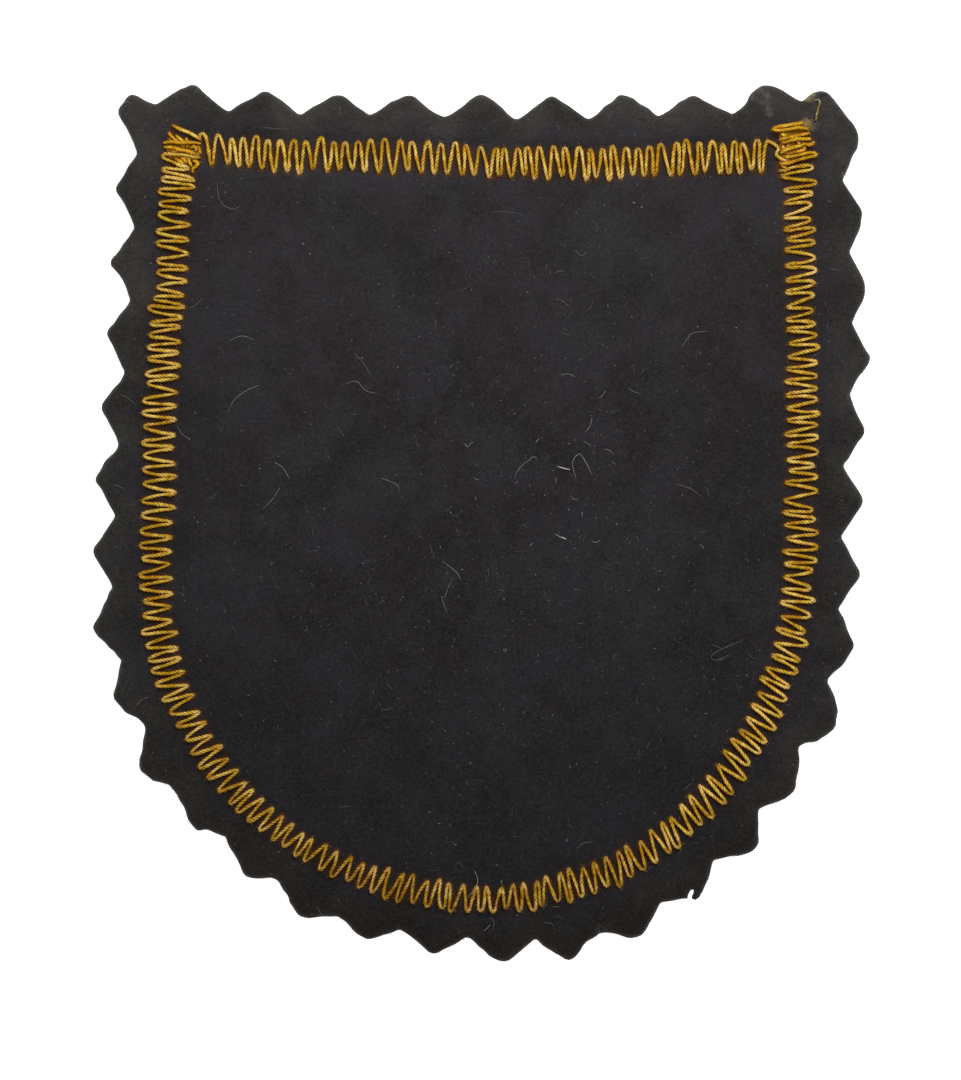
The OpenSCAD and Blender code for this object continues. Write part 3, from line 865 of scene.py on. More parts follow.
feltGrain = {
    # how wide the spots of each kind are
    "patch": 7.5,
    "blotch": 5.0,
    "mottle": 1.1,
    "fibre": 0.42,
    "streak": 0.32,
    "grain": 0.24,
    "roughness": 0.95,
    "sheen": 0.12,
}


def spotsOn(f, place, spots, rough):
    # 1 at the middle of each of the spots on the face, and 0 clear of them all
    total = None
    flat = f.node("ShaderNodeVectorMath", {"operation": "MULTIPLY"}, {0: place, 1: (1, 1, 0)})
    for pixel, radius in spots:
        middle = (*atPixel(*pixel), 0)
        away = f.node("ShaderNodeVectorMath", {"operation": "DISTANCE"}, {0: flat, 1: middle}, "Value")
        spot = f.fade(away + 1.2 * (rough - 0.5), radius, 0.3 * radius)
        total = total + spot if total else spot
    return total * f.fade(f.attribute("upper"), 0.55, 0.95)


def feltFinish():
    f = Finish("blackFelt")
    place = f.place()
    blotch = f.noise(place, feltGrain["blotch"], detail=3, warp=0.4)
    mottle = f.noise(place, feltGrain["mottle"], detail=2, warp=0.6)
    fibre = f.noise(place, feltGrain["fibre"], 3, 1.6, kind="RIDGED_MULTIFRACTAL", roughness=0.6)
    grain = f.noise(place, feltGrain["grain"], detail=3, warp=0.4, roughness=0.7)
    patch = f.noise(place, feltGrain["patch"], detail=2, warp=0.6)
    strand = f.fade(fibre, 0.45, 0.85)
    colour = f.mix(f.fade(blotch * 0.6 + mottle * 0.4, 0.4, 0.62), feltTones["brown"], feltTones["blue"])
    colour = f.mix(f.fade(patch, 0.45, 0.65, 0, 0.8), colour, feltTones["olive"])
    height = f.axis(place, "Y")
    # 0 at the bottom edge and 1 at the top: a painted light falloff makes the felt and its margin lighter
    #                                        towards the top and darker towards the bottom
    upTo = f.node("ShaderNodeMapRange", {}, {"Value": height, "From Min": -37.0, "From Max": 37.0})
    edging = f.mix(f.fade(height, -38, -12), feltTones["marginLow"], feltTones["marginHigh"])
    colour = f.mix(f.attribute("margin"), colour, edging)
    along = feltTones["dull"] + (feltTones["bright"] - feltTones["dull"]) * upTo
    tone = along * (0.24 + 0.34 * f.fade(blotch, 0.35, 0.65) + 0.35 * mottle + 0.3 * strand
                    + (0.9 - 0.45 * upTo) * (f.fade(grain, 0.28, 0.72) - 0.5) + 0.25)
    colour = f.toned(colour, tone)
    # painted reflected light: the felt near the threads takes the gold thread's orange glow
    paintedThreadGlow = f.mix(upTo, feltTones["threadGlowLow"], feltTones["threadGlowHigh"])
    colour = f.mix(f.attribute("stitchNear"), colour, paintedThreadGlow)
    worn, soiled, stained = [spotsOn(f, place, feltTones[kind + "Spots"], mottle)
                             for kind in ("worn", "soiled", "stained")]
    streakSpace = f.node("ShaderNodeMapping", {"vector_type": "TEXTURE"}, {
        "Vector": place, "Rotation": (0, 0, feltTones["wornSlant"]), "Scale": feltTones["wornStretch"]})
    streak = f.noise(streakSpace, feltGrain["streak"], detail=3, warp=0.5, roughness=0.6)
    streak = f.fade(streak, 0.36, 0.64)
    colour = f.mix(soiled * (0.2 + 0.9 * grain), colour, feltTones["soiled"])
    colour = f.mix(stained * 0.9, colour, feltTones["stained"])
    colour = f.mix(worn * (0.15 + 0.75 * streak), colour, feltTones["worn"])
    rough = f.bump(grain, 0.05, 0.5)
    normal = f.bump(strand + 0.6 * mottle, 0.12, 0.8, rough)
    return f.surface({
        "Base Color": colour, "Roughness": feltGrain["roughness"], "Specular IOR Level": 0.12,
        "Normal": normal, "Sheen Weight": feltGrain["sheen"], "Sheen Roughness": 0.6})


threadLook = {
    "plies": 3,
    "fibres": (26, 2.2),  # how many show round the thread, and in a millimetre along it
    # how wide the worn stretches, the bright spots, the shades of the dye and the dusty turns are
    "wear": 1.3,
    "spot": 0.32,
    "dye": 0.5,
    "dust": 1.7,
    "dustTone": (0.5, 0.4, 0.24),
    "lit": (-39, -21),  # y from which the stitching lies in a weaker light, and up to which
    "roughness": 0.62,
    "shine": 0.11,
}
# each thread's finish: the colour on its plies, the painted shade between them and on their sides, the pale
# colour of faded spots and painted highlights, and how much of it is faded or highlighted and how much dusty
threadTones = {
    "needle": ("goldenThread", (0.98, 0.58, 0.02), (0.24, 0.062, 0.001), (0.98, 0.78, 0.32), 0.72, 0.7),
    "tack": ("goldenTackThread", (1.0, 0.54, 0.012), (0.32, 0.085, 0.001), (0.96, 0.74, 0.24), 0.25, 0.2),
    "bobbin": ("goldenBobbinThread", (0.74, 0.48, 0.08), (0.26, 0.11, 0.006), (0.7, 0.56, 0.26), 0.4, 0.2),
    "tail": ("fadedThread", (0.5, 0.38, 0.17), (0.07, 0.045, 0.02), (0.7, 0.6, 0.36), 0.6, 0.0),
}
# the darkest and the palest of each kind of loose fibre
fibreTones = {
    "goldFibre": ("goldenFibres", (0.22, 0.14, 0.035), (0.7, 0.52, 0.22)),
    "darkFibre": ("blackFibres", (0.017, 0.015, 0.0165), (0.11, 0.1, 0.103)),
    "lint": ("paleLint", (0.04, 0.037, 0.038), (0.62, 0.6, 0.57)),
}


def threadFinish(name, bright, dark, pale, share, dust):
    # a thread of twisted plies: their crowns bright with painted highlights, the valleys between them dark
    # with painted shade
    f = Finish(name)
    place = f.place()
    uv = f.node("ShaderNodeUVMap", {"uv_map": "along"}, {})
    u = f.axis(uv, "X")
    v = f.axis(uv, "Y")
    around = u * (threadLook["plies"] * fullTurn)
    crown = f.node("ShaderNodeMath", {"operation": "COSINE"}, {0: around}) * 0.5 + 0.5
    aroundFibres, alongFibres = threadLook["fibres"]
    fibreVector = f.node("ShaderNodeCombineXYZ", {}, {
        "X": u * aroundFibres, "Y": v * alongFibres, "Z": 0.0})
    fibre = f.noise(fibreVector, 1.0)
    wear = f.fade(f.noise(place, threadLook["wear"]), 0.32, 0.68)
    spot = f.fade(f.noise(place, threadLook["spot"]), 0.3, 0.7)
    lay = f.attribute("lay")
    high = f.attribute("high")
    # painted shade in the valleys between the plies
    valley = f.fade(crown + 1.3 * (fibre - 0.5), -0.05, 0.6, 0.17, 1.0)
    # painted sheen: legs that run one way are lighter than legs that run the other, here and in the tone
    # below
    valley = valley + 0.4 * lay * (1 - valley)
    lit = f.fade(f.axis(place, "Y"), *threadLook["lit"])
    # painted shade: the sides and underside of a strand darker than its top, more so in the weaker light
    # towards the bottom
    top = f.fade(f.attribute("shade") + 0.16 * lit, 0.24, 1.08)
    # the dye is a redder gold in some spots and a yellower gold in others
    redder = (bright[0], bright[1] * 0.88, bright[2] * 0.4)
    yellower = (bright[0], bright[1] * 1.24, bright[2] * 1.5)
    yellow = f.mix(f.fade(f.noise(place, threadLook["dye"]), 0.38, 0.62), redder, yellower)
    # painted shade: the thread darker where it goes down into the felt or lies low under other strands, and
    # in the weaker light towards the bottom
    full = top * valley * (0.3 + 0.7 * high) * (0.58 + 0.3 * spot + 0.25 * wear)
    colour = f.mix(full * (0.8 + 0.2 * lit), dark, yellow)
    # pale where the thread has faded, and painted highlights on the crowns of its lit top
    fadedAndHighlighted = f.fade(wear * 0.42 + crown * 0.3 + fibre * 0.3 + spot * 0.2, 0.44, 1.14) * top * share
    colour = f.mix(fadedAndHighlighted, colour, pale)
    dusty = f.attribute("bend") * f.fade(f.noise(place, threadLook["dust"]), 0.46, 0.6)
    colour = f.mix(dusty * top * dust, colour, threadLook["dustTone"])
    spotted = (0.16 + 0.26 * (1 - lit)) * (spot - 0.5)
    tone = (0.54 + 0.2 * wear + 0.46 * fibre + spotted + 0.14 * lay) * (0.88 + 0.12 * lit)
    colour = f.toned(colour, tone)
    normal = f.bump(fibre, 0.03, 0.7)
    return f.surface({
        "Base Color": colour, "Roughness": threadLook["roughness"],
        "Specular IOR Level": threadLook["shine"], "Normal": normal})


def fibreFinish(name, low, high):
    # loose fibres, each with its own shade from low to high
    f = Finish(name)
    colour = f.mix(f.attribute("shade"), low, high)
    return f.surface({"Base Color": colour, "Roughness": 0.8, "Specular IOR Level": 0.2})


finishes = {"felt": feltFinish()}
for maker, tones in ((threadFinish, threadTones), (fibreFinish, fibreTones)):
    for key, values in tones.items():
        finishes[key] = maker(*values)
print("finishes:", ", ".join(finishes))

felt = makeFelt(finishes["felt"])


# Thread pieces

threadForm = {
    # ring: distance between the rings of a strand; twist: length in which its plies go once round;
    # low: height up to which a thread counts as down in the felt
    "needle": {
        "slot": "needle_thread", "radius": 0.186, "ring": 0.12, "sides": 12, "twist": 0.95, "low": 1.24},
    "bobbin": {
        "slot": "bobbin_thread", "radius": 0.14, "ring": 0.2, "sides": 9, "twist": 0.9, "low": -1},
    "plyDepth": 0.17,
    "uneven": 0.1,  # share by which the thickness comes and goes
}
thicknessNoise = ripples(seed=15, size=0.7)


def trefoil(sides, depth):
    # a ring round plies that lie together
    turns = threadLook["plies"] * fullTurn
    return [1 - depth * (0.5 - 0.5 * math.cos(turns * j / sides)) for j in range(sides)]


def threadValues(line, low):
    # for each point of a thread: how it lies to the light, how high above a level and how sharply it turns
    run = runOf(line)
    ahead, back = [np.stack([np.interp(run + step, run, line[:, i]) for i in (0, 1)], axis=1)
                   for step in (0.3, -0.3)]
    way = ahead - back
    square = np.maximum((way ** 2).sum(axis=1), 1e-6)
    return np.stack([
        0.5 - way[:, 0] * way[:, 1] / square,
        np.clip((line[:, 2] - low) / 0.34, 0, 1),
        np.clip(1.2 * (1 - np.sqrt(square) / 0.6), 0, 1)])


def makeThread(name, lines, kind, finish, replaced):
    form = threadForm[kind]
    ring = trefoil(form["sides"], threadForm["plyDepth"])
    parts = []
    values = []
    for line in lines:
        line = smoothLine(line, form["ring"])
        values.append(np.repeat(threadValues(line, form["low"]), form["sides"], axis=1))
        line = lifted(line)
        run = runOf(line)
        ends = np.clip(np.minimum(run, run[-1] - run) / 0.2, 0, 1)
        thick = form["radius"] * (0.55 + 0.45 * ends)
        thick = thick * (1 + threadForm["uneven"] * thicknessNoise(line))
        parts.append(tubes(line[None], thick[None], ring, form["twist"]))
    verts, faces, uvs, upward = joined(parts)
    lay, high, bend = np.concatenate(values, axis=1)
    piece = makePiece(name, verts, faces, form["slot"], finishes[finish], uvs, shade=upward, lay=lay,
                      high=high, bend=bend)
    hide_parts(replaced)


makeThread("topRowThread", [topLine], "needle", "needle", "top_row")
makeThread("sideRowThread", [sideLine], "needle", "needle", "side_row")
makeThread("leftTackThread", leftLines, "needle", "tack", "left_tack")
makeThread("rightTackThread", rightLines, "needle", "tack", "right_tack")


def backZigzag(row, rng):
    # the bobbin thread: straight legs between the same turns, drawn a little up into the back at each
    line = routeLine(row["stations"])
    points = []
    for s, hand, reach, outer in turnsOf(row):
        for offset in (-stitch["backHalf"], stitch["backHalf"]):
            here, right = alongRoute(line, s + offset + rng.normal(0, 0.03))
            x, y = here + right * hand * (stitch["backReach"] * reach)
            points.append((x, y, stitch["backHeight"] + stitch["backDip"]))
        points.append(None)
    points.pop()
    for i, p in enumerate(points):
        if p is None:
            middle = (np.array(points[i - 1]) + points[i + 1]) / 2
            points[i] = (middle[0], middle[1], stitch["backHeight"] - 0.02)
    return points


def backTack(node, rng, passes=9):
    # thread passes to and fro across a corner
    low, high = [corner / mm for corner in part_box(node)]
    points = []
    for i in range(passes):
        y = low.y + 0.15 + (high.y - low.y - 0.3) * i / (passes - 1)
        ends = [low.x + 0.25, high.x - 0.25]
        if i % 2:
            ends.reverse()
        middle = (sum(ends) / 2, y + rng.normal(0, 0.08), stitch["backHeight"] + 0.02 * (i % 3))
        points += [(ends[0] + rng.normal(0, 0.12), y - 0.1, stitch["backHeight"] + 0.06), middle,
                   (ends[1] + rng.normal(0, 0.12), y + 0.1, stitch["backHeight"] + 0.06)]
    return points


rng = np.random.default_rng(stitch["backSeed"])
makeThread("topRowBackThread", [backZigzag(topRow, rng)], "bobbin", "bobbin", "top_row_back")
makeThread("sideRowBackThread", [backZigzag(sideRow, rng)], "bobbin", "bobbin", "side_row_back")
makeThread("leftTackBackThread", [backTack("left_tack_back", rng)], "bobbin", "bobbin", "left_tack_back")
makeThread("rightTackBackThread", [backTack("right_tack_back", rng)], "bobbin", "bobbin", "right_tack_back")

tail = {
    "pixels": [(814.8, 122), (815.3, 119), (815.6, 116), (816.8, 112.6), (817, 109.4), (818.2, 105.8),
               (818.6, 103.2), (817.4, 101.5), (815, 101.2), (812.6, 101.6)],
    "radius": 0.13,
    "rise": 0.1,  # above the felt
    "bow": 0.1,  # up and down along it
    "uneven": 0.15,
    "thins": 0.4,  # share of the thickness that is lost at the tip
    "sides": 9,
    "plyDepth": 0.34,
    "twist": 0.75,
}


def makeTail():
    xy = np.array([atPixel(*p) for p in tail["pixels"]])
    z = faceAt(xy) + tail["rise"] + tail["bow"] * np.sin(np.arange(len(xy)) * 1.3)
    line = lifted(smoothLine(np.column_stack([xy, z]), 0.1))
    run = runOf(line)
    thick = tail["radius"] * (1 - tail["thins"] * (run / run[-1]) ** 3)
    thick = thick * (1 + tail["uneven"] * thicknessNoise(line))
    ring = trefoil(tail["sides"], tail["plyDepth"])
    verts, faces, uvs, upward = tubes(line[None], thick[None], ring, tail["twist"])
    lay, high, bend = np.repeat(threadValues(line, 0), tail["sides"], axis=1)
    makePiece("threadTail", verts, faces, "needle_thread", finishes["tail"], uvs, shade=upward, lay=lay,
              high=high, bend=bend)


makeTail()


# Loose fibres

fuzz = {
    "radius": 0.01,
    "faceCount": 7200,
    "faceLength": (0.4, 1.8),
    "backCount": 2400,
    "edgeCount": 2200,
    "edgeLength": (0.05, 0.16),
    "edgeLonger": 0.3,  # one fibre in 50 is this much longer
    "threadCount": 1500,
    "threadLength": (0.08, 0.34),
    "seed": 31,
}


def strays(rng, roots, heading, length, curl, points):
    # plan view of curved fibres from their roots, as strands x points x 2
    count = len(roots)
    steps = np.linspace(0, 1, points)[None] * length[:, None]
    angle = heading[:, None] + rng.normal(0, curl, (count, 1)) * steps
    angle = angle + np.cumsum(rng.normal(0, 0.25, (count, points)), axis=1)
    stride = length[:, None] / (points - 1)
    moves = np.stack([np.cos(angle), np.sin(angle)], axis=-1) * stride[..., None]
    return roots[:, None] + np.cumsum(moves, axis=1) - moves[:, :1]


def makeFibres(name, xy, z, radius, slot, finish, shade):
    # fibres as strands x points, in plan and in height over the table
    lines = np.concatenate([xy, z[..., None]], axis=-1)
    count, points = lines.shape[:2]
    onTable = lifted(lines.reshape(-1, 3))
    taper = 1 - 0.5 * np.abs(np.linspace(-1, 1, points)) ** 3
    thick = np.asarray(radius).reshape(-1, 1) * taper
    verts, faces, _, _ = tubes(onTable.reshape(count, points, 3), thick, [1, 1, 1])
    makePiece(name, verts, faces, slot, finishes[finish], shade=np.repeat(shade, points * 3))


def faceFuzz(rng):
    inside = np.flatnonzero((felt["level"] > 0.98) & (felt["edge"] > 0.3))
    roots = felt["xy"][rng.choice(inside, fuzz["faceCount"])] + rng.normal(0, 0.1, (fuzz["faceCount"], 2))
    length = rng.uniform(*fuzz["faceLength"], len(roots))
    xy = strays(rng, roots, rng.uniform(0, fullTurn, len(roots)), length, curl=0.7, points=4)
    arch = np.sin(np.linspace(0.15, 0.95, 4) * math.pi) * rng.uniform(-0.01, 0.03, (len(roots), 1))
    z = faceAt(xy.reshape(-1, 2)).reshape(len(roots), 4) + 0.004 + arch
    shade = rng.uniform(0, 1, len(roots)) ** 2
    makeFibres("faceFuzz", xy, z, fuzz["radius"], "felt", "darkFibre", shade)


def backFuzz(rng):
    inside = np.flatnonzero((felt["level"] < 0.02) & (felt["edge"] > 0.3))
    roots = felt["xy"][rng.choice(inside, fuzz["backCount"])]
    length = rng.uniform(*fuzz["faceLength"], len(roots))
    xy = strays(rng, roots, rng.uniform(0, fullTurn, len(roots)), length, curl=0.7, points=4)
    pressed = pressedAt(xy.reshape(-1, 2)).reshape(len(roots), 4)
    z = feltForm["backPress"] * pressed * 0.8 + 0.01 + rng.uniform(0, 0.03, (len(roots), 1))
    shade = rng.uniform(0, 1, len(roots)) ** 2
    makeFibres("backFuzz", xy, z, fuzz["radius"], "felt", "darkFibre", shade)


def edgeFuzz(rng):
    rim = np.flatnonzero(felt["edge"] < 0.02)
    pick = rng.choice(rim, fuzz["edgeCount"])
    roots = felt["wall"][pick]
    out = np.arctan2(felt["normal"][pick, 1], felt["normal"][pick, 0])
    length = rng.uniform(*fuzz["edgeLength"], len(roots))
    length = length + fuzz["edgeLonger"] * (rng.uniform(0, 1, len(roots)) > 0.98)
    xy = strays(rng, roots, out + rng.normal(0, 0.8, len(roots)), length, curl=1.5, points=3)
    level = rng.uniform(0.15, 1.05, len(roots))[:, None]
    z = feltForm["thick"] * level + rng.normal(0, 0.12, (len(roots), 1)) * np.linspace(0, 1, 3)
    z = np.maximum(z, 0.03)
    shade = rng.uniform(0, 1, len(roots)) ** 2
    makeFibres("edgeFuzz", xy, z, fuzz["radius"], "felt", "darkFibre", shade)


def threadHairs(rng):
    # hairs that stand off the threads, most of them outwards at the turns
    line = np.vstack([part[3:-3] for part in settled])
    bow = np.vstack([(2 * part[3:-3] - part[:-6] - part[6:])[:, :2] for part in settled])
    sharp = np.linalg.norm(bow, axis=1)
    count = fuzz["threadCount"]
    pick = rng.choice(len(line), count, p=(0.1 + sharp ** 2) / (0.1 + sharp ** 2).sum())
    heading = np.arctan2(bow[pick, 1], bow[pick, 0]) + rng.normal(0, 0.5, count)
    roots = line[pick, :2] + 0.13 * np.stack([np.cos(heading), np.sin(heading)], axis=-1)
    length = rng.uniform(*fuzz["threadLength"], count)
    xy = strays(rng, roots, heading, length, curl=2.0, points=3)
    z = line[pick, 2:] + rng.uniform(-0.05, 0.12, (count, 1))
    z = z + rng.normal(0.0, 0.1, (count, 1)) * np.linspace(0, 1, 3)
    makeFibres("threadHairs", xy, z, fuzz["radius"], "needle_thread", "goldFibre", rng.uniform(0, 1, count))


# Lint: the longer pale fibres, charted as a radius, a shade and the pixels that each passes through

lintChart = [
    (0.075, 0.75, [(557.5, 466.4), (564, 468.6), (570, 469.8)]),
    (0.02, 0.9, [(576.5, 480.5), (572.7, 460.8), (579.7, 453.7), (585.4, 462), (592.4, 475.4)]),
    (0.018, 0.7, [(514.6, 477.3), (519, 468.4), (528, 460.8), (534.4, 456.3), (537, 459.5)]),
    (0.035, 0.6, [(555.4, 534.1), (561, 537.5), (566.8, 539.6)]),
    (0.05, 1.0, [(561.5, 536.8), (564, 538.2), (566.4, 539.4)]),
    (0.02, 0.8, [(505, 648.6), (506.4, 650), (505, 651.4), (503.6, 650), (505, 648.6)]),
    (0.02, 0.7, [(605.8, 390.6), (602, 396), (596.9, 398.9)]),
    (0.02, 0.7, [(591.8, 417.4), (590, 426), (584.8, 432.7)]),
    (0.018, 0.6, [(559.9, 375.3), (568, 374), (575.8, 377.2)]),
    (0.018, 0.7, [(227.8, 412.8), (234.3, 399.9), (246, 391), (259.2, 385)]),
    (0.018, 0.7, [(274, 461.8), (283, 468), (289.7, 479.4)]),
    (0.018, 0.65, [(262.9, 509), (272, 500), (280.5, 486.8)]),
    (0.018, 0.6, [(344.3, 384.1), (356.3, 381.4), (365.6, 390.6), (378, 394)]),
    (0.016, 0.5, [(354.5, 353.6), (364, 364), (371.1, 375.8)]),
    (0.02, 0.6, [(228.7, 340.7), (241.7, 336), (253.7, 339.8)]),
    (0.016, 0.5, [(176.9, 425.8), (182, 434), (190.8, 439.6)]),
    (0.016, 0.5, [(114, 484.9), (118, 486), (123.3, 488.6)]),
    (0.016, 0.5, [(120.5, 394.3), (128, 398), (134.4, 403.6)]),
    (0.016, 0.55, [(217.4, 184.6), (218.4, 196), (222.4, 203.8), (229.6, 208.8), (237, 208.6), (240, 205)]),
    (0.016, 0.4, [(201.9, 298.4), (196, 305), (188, 308.6)]),
    (0.016, 0.4, [(259.2, 126.4), (274, 129), (289.7, 129.2)]),
    (0.016, 0.5, [(575.2, 249.9), (581, 256), (587, 251.9)]),
    (0.016, 0.5, [(556.4, 298.3), (562, 301), (569.2, 306.3)]),
    (0.014, 0.35, [(490, 212), (508, 212), (524.7, 215.3)]),
    (0.018, 0.6, [(681.6, 348.2), (691.4, 333.9), (707.5, 331.3)]),
    (0.016, 0.5, [(628, 387.5), (634, 392), (640.5, 393.8)]),
    (0.016, 0.5, [(675.4, 483.9), (689, 488), (701.3, 496.4)]),
    (0.016, 0.6, [(742.7, 640.7), (728, 646), (716.8, 651.4), (709.6, 656.8), (716.8, 660.4), (731, 653.2)]),
    (0.016, 0.5, [(576.4, 848.8), (583, 843), (591.6, 841.6)]),
    (0.018, 0.6, [(380, 478), (389, 481), (398, 486), (399, 492)]),
    (0.018, 0.7, [(442, 561), (450, 567), (457, 573), (461, 580)]),
    (0.018, 0.65, [(453, 578), (448, 588), (444, 598), (441, 595), (447, 613)]),
    (0.016, 0.5, [(136, 706), (143, 699), (150, 697)]),
    (0.03, 0.5, [(467, 448.5), (469.5, 444.8), (473.5, 442)]),
    (0.03, 0.5, [(464.5, 443.5), (467.5, 447.5)]),
    (0.025, 0.7, [(535.3, 443.2), (538.8, 438.6)]),
    (0.03, 0.35, [(583, 441), (587, 443.4), (591, 446.6)]),
    (0.025, 0.5, [(604, 449), (609, 450.4), (613.5, 454.4)]),
    (0.03, 0.35, [(612, 462), (615.8, 464.8)]),
    (0.03, 0.4, [(555.4, 478), (556.4, 483.4)]),
    (0.02, 0.5, [(514.4, 484.4), (518, 481)]),
    (0.03, 0.5, [(475, 497), (476.6, 500.4)]),
    (0.035, 0.6, [(544.3, 494.4), (545, 496)]),
    (0.02, 0.55, [(570.4, 496), (573.6, 499), (577.6, 500)]),
    (0.04, 0.9, [(568.4, 509), (568.9, 510.6)]),
    (0.03, 0.7, [(581.8, 511.4), (582.2, 516.8)]),
    (0.05, 0.35, [(450.4, 511.6), (451.4, 514.2)]),
    (0.03, 0.6, [(616, 525.2), (617, 523.6)]),
    (0.03, 0.5, [(591.6, 541.4), (596, 542.4), (600.4, 540)]),
    (0.03, 0.5, [(529.4, 546.4), (532.6, 543.2)]),
    (0.02, 0.4, [(123.6, 104.8), (127.6, 102.8), (132, 105)]),
    (0.016, 0.25, [(124.6, 107.4), (128.6, 106), (131.6, 108)]),
    (0.014, 0.2, [(158, 127.6), (163, 128.8), (168, 128.6)]),
    (0.016, 0.4, [(223.4, 194.6), (226.6, 191.6)]),
    (0.016, 0.4, [(201, 206.8), (206.8, 206.2)]),
    (0.02, 0.35, [(115.6, 397.6), (118.6, 397)]),
    (0.03, 0.5, [(196.6, 521), (199, 523.4)]),
    (0.025, 0.4, [(193.6, 516.4), (195, 518.4)]),
    (0.025, 0.3, [(204.6, 523.6), (206.4, 525)]),
    (0.016, 0.5, [(490, 917.5), (493.8, 921.3), (492.6, 930)]),
    (0.022, 0.7, [(483.8, 931.2), (490.6, 924.4)]),
    (0.016, 0.35, [(543.8, 922.4), (552.4, 923.8), (554.4, 930)]),
    (0.018, 0.35, [(553, 906.4), (560, 907)]),
    (0.03, 0.8, [(501.2, 880.4), (501.4, 883.6)]),
    (0.018, 0.25, [(459.2, 929.6), (458.8, 935)]),
    (0.03, 0.14, [(455, 866), (459.4, 861.6), (463, 869)]),
    (0.035, 0.9, [(632.5, 202.5), (634.5, 203.5)]),
    (0.03, 0.8, [(640.5, 207), (642.5, 208)]),
    (0.03, 0.8, [(735, 327.2), (737, 328.2)]),
    (0.028, 0.8, [(708, 442.5), (710, 443.5)]),
    (0.02, 0.7, [(699.5, 544.6), (702, 546), (703.9, 549.1)]),
    (0.03, 0.7, [(302, 243), (304, 245)]),
    (0.03, 0.7, [(309, 253.5), (311, 254.5)]),
]
# the same for fibres that lie over the stitching, which a height above the table adds to
overThreads = [(0.02, 0.95, [(474.6, 870.2), (477.6, 878), (476.6, 885.6), (467.5, 896.8)], 1.95)]

lint = {
    "rise": 0.03,
    # loose short fibres, and stubs that stand out of the felt: how many, how long and how thick
    "loose": {"count": 1200, "length": (0.25, 1.1), "radius": (0.009, 0.015), "shade": (0.06, 0.5)},
    "stubs": {"count": 5200, "length": (0.05, 0.28), "radius": (0.016, 0.032), "shade": (0.02, 0.6)},
    "middle": (4, 3),  # where the short ones lie thickest
    "spread": (17, 19),
    "seed": 41,
}


def makeLint():
    rng = np.random.default_rng(lint["seed"])
    plans = []
    heights = []
    for _, _, pixels, *over in lintChart + overThreads:
        xy = np.array([atPixel(*p) for p in pixels])
        xy = smoothLine(xy, count=12) if len(pixels) > 2 else evenly(xy, count=12)
        bow = 0.04 * np.sin(np.linspace(0, 3, 12))
        z = np.full(12, over[0]) if over else faceAt(xy) + lint["rise"] + bow
        plans.append(xy)
        heights.append(z)
    radius, shade = [np.array([entry[i] for entry in lintChart + overThreads]) for i in (0, 1)]
    makeFibres("lint", np.array(plans), np.array(heights), radius, "felt", "lint", shade)
    for name, kind, points in (("looseFibres", lint["loose"], 7), ("fibreStubs", lint["stubs"], 4)):
        inside = np.flatnonzero((felt["level"] > 0.98) & (felt["edge"] > 0.4))
        spots = felt["xy"][rng.choice(inside, 6 * kind["count"])]
        away = ((spots - lint["middle"]) / lint["spread"]) ** 2
        likely = 0.3 + np.exp(-away.sum(axis=1))
        roots = spots[rng.uniform(0, 1.3, len(spots)) < likely][:kind["count"]]
        roots = roots + rng.normal(0, 0.12, roots.shape)
        shortest, longest = kind["length"]
        length = shortest + (longest - shortest) * rng.uniform(0, 1, len(roots)) ** 2
        xy = strays(rng, roots, rng.uniform(0, fullTurn, len(roots)), length, curl=1.2, points=points)
        z = faceAt(xy.reshape(-1, 2)).reshape(len(roots), points) + 0.012
        thick = rng.uniform(*kind["radius"], len(roots))
        dimmest, palest = kind["shade"]
        tone = dimmest + (palest - dimmest) * rng.uniform(0, 1, len(roots)) ** 3
        makeFibres(name, xy, z, thick, "felt", "lint", tone)


# Frays: bunches of pale fibres at worn spots of the cut edge

frays = {
    # pixel in the middle of a bunch, half its width in millimetres, fibres in it, and their shade
    "pale": [
        ((599, 929), 0.3, 16, 0.22), ((606, 928), 0.3, 16, 0.18), ((858, 322.5), 0.2, 14, 0.7),
        ((849.5, 395), 0.2, 8, 0.5), ((844, 177), 0.2, 12, 0.5), ((754, 97), 0.3, 40, 0.2),
        ((762, 97), 0.45, 60, 0.22), ((766, 105), 0.45, 70, 0.24), ((769, 112), 0.3, 50, 0.24),
        ((814.6, 125), 0.15, 40, 0.3), ((814.4, 129), 0.15, 40, 0.2), ((735, 854), 0.6, 12, 0.1)],
    "gold": [((803.6, 125), 0.2, 130, 0.9), ((806, 126), 0.3, 170, 0.7), ((808.4, 128.4), 0.26, 90, 0.4)],
    "length": (0.2, 0.6),
    "radius": 0.0085,
    "rise": {"pale": 0.08, "gold": 0.45},
    "seed": 51,
}


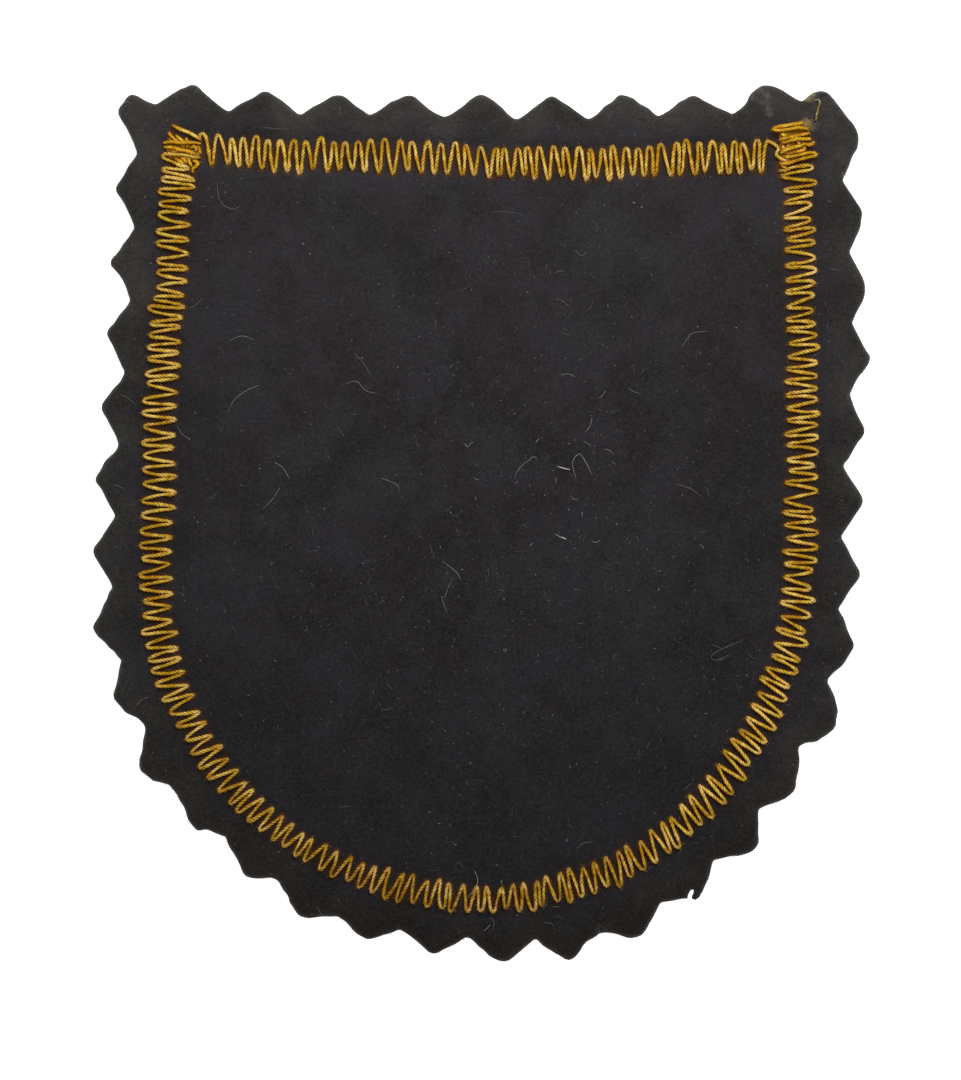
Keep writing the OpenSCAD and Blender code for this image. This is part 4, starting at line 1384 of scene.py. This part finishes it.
def makeFrays():
    rng = np.random.default_rng(frays["seed"])
    for name, key, slot, finish in (("paleFrays", "pale", "felt", "lint"),
                                    ("goldenFrays", "gold", "needle_thread", "goldFibre")):
        plans = []
        heights = []
        shade = []
        for pixel, half, count, tone in frays[key]:
            roots = np.array(atPixel(*pixel)) + rng.normal(0, 0.6 * half, (count, 2))
            heading = rng.uniform(0, fullTurn, count)
            length = rng.uniform(*frays["length"], count)
            xy = strays(rng, roots, heading, length, curl=1.6, points=6)
            rise = rng.uniform(0, frays["rise"][key], (count, 1))
            plans.append(xy)
            heights.append(faceAt(xy.reshape(-1, 2)).reshape(count, 6) + rise)
            shade.append(tone * rng.uniform(0.4, 1.4, count))
        makeFibres(name, np.concatenate(plans), np.concatenate(heights), frays["radius"], slot, finish,
                   np.concatenate(shade))


rng = np.random.default_rng(fuzz["seed"])
faceFuzz(rng)
backFuzz(rng)
edgeFuzz(rng)
threadHairs(rng)
makeLint()
makeFrays()


# Floor and light

studio = {
    "floor": (0.9, 0.9, 0.9),
    "floorGlow": 0.93,
    "floorSize": 3.0,
    "keyAt": (0.045, 0.115, 0.18),
    "keySize": 0.14,
    "keyPower": 0.29,
    "sky": 0.36,
}


def makeStudio():
    bpy.ops.object.select_all(action="DESELECT")
    bpy.ops.mesh.primitive_plane_add(size=studio["floorSize"], location=(0, 0, 0))
    floor = bpy.context.object
    floor.name = "floor"
    f = Finish("paleFloor")
    floor.data.materials.append(f.surface({
        "Base Color": (*studio["floor"], 1), "Roughness": 0.9, "Specular IOR Level": 0.0,
        "Emission Color": (1, 1, 1, 1), "Emission Strength": studio["floorGlow"]}))
    data = bpy.data.lights.new("key", "AREA")
    data.size = studio["keySize"]
    data.energy = studio["keyPower"]
    key = bpy.data.objects.new("key", data)
    key.location = studio["keyAt"]
    key.rotation_euler = (-Vector(studio["keyAt"])).to_track_quat("-Z", "Y").to_euler()
    bpy.context.collection.objects.link(key)
    world = bpy.data.worlds.new("softSky")
    world.use_nodes = True
    world.node_tree.nodes["Background"].inputs["Color"].default_value = (1, 1, 1, 1)
    world.node_tree.nodes["Background"].inputs["Strength"].default_value = studio["sky"]
    bpy.context.scene.world = world
    bpy.context.scene.view_settings.view_transform = "Standard"
    print("floor and light set")


makeStudio()
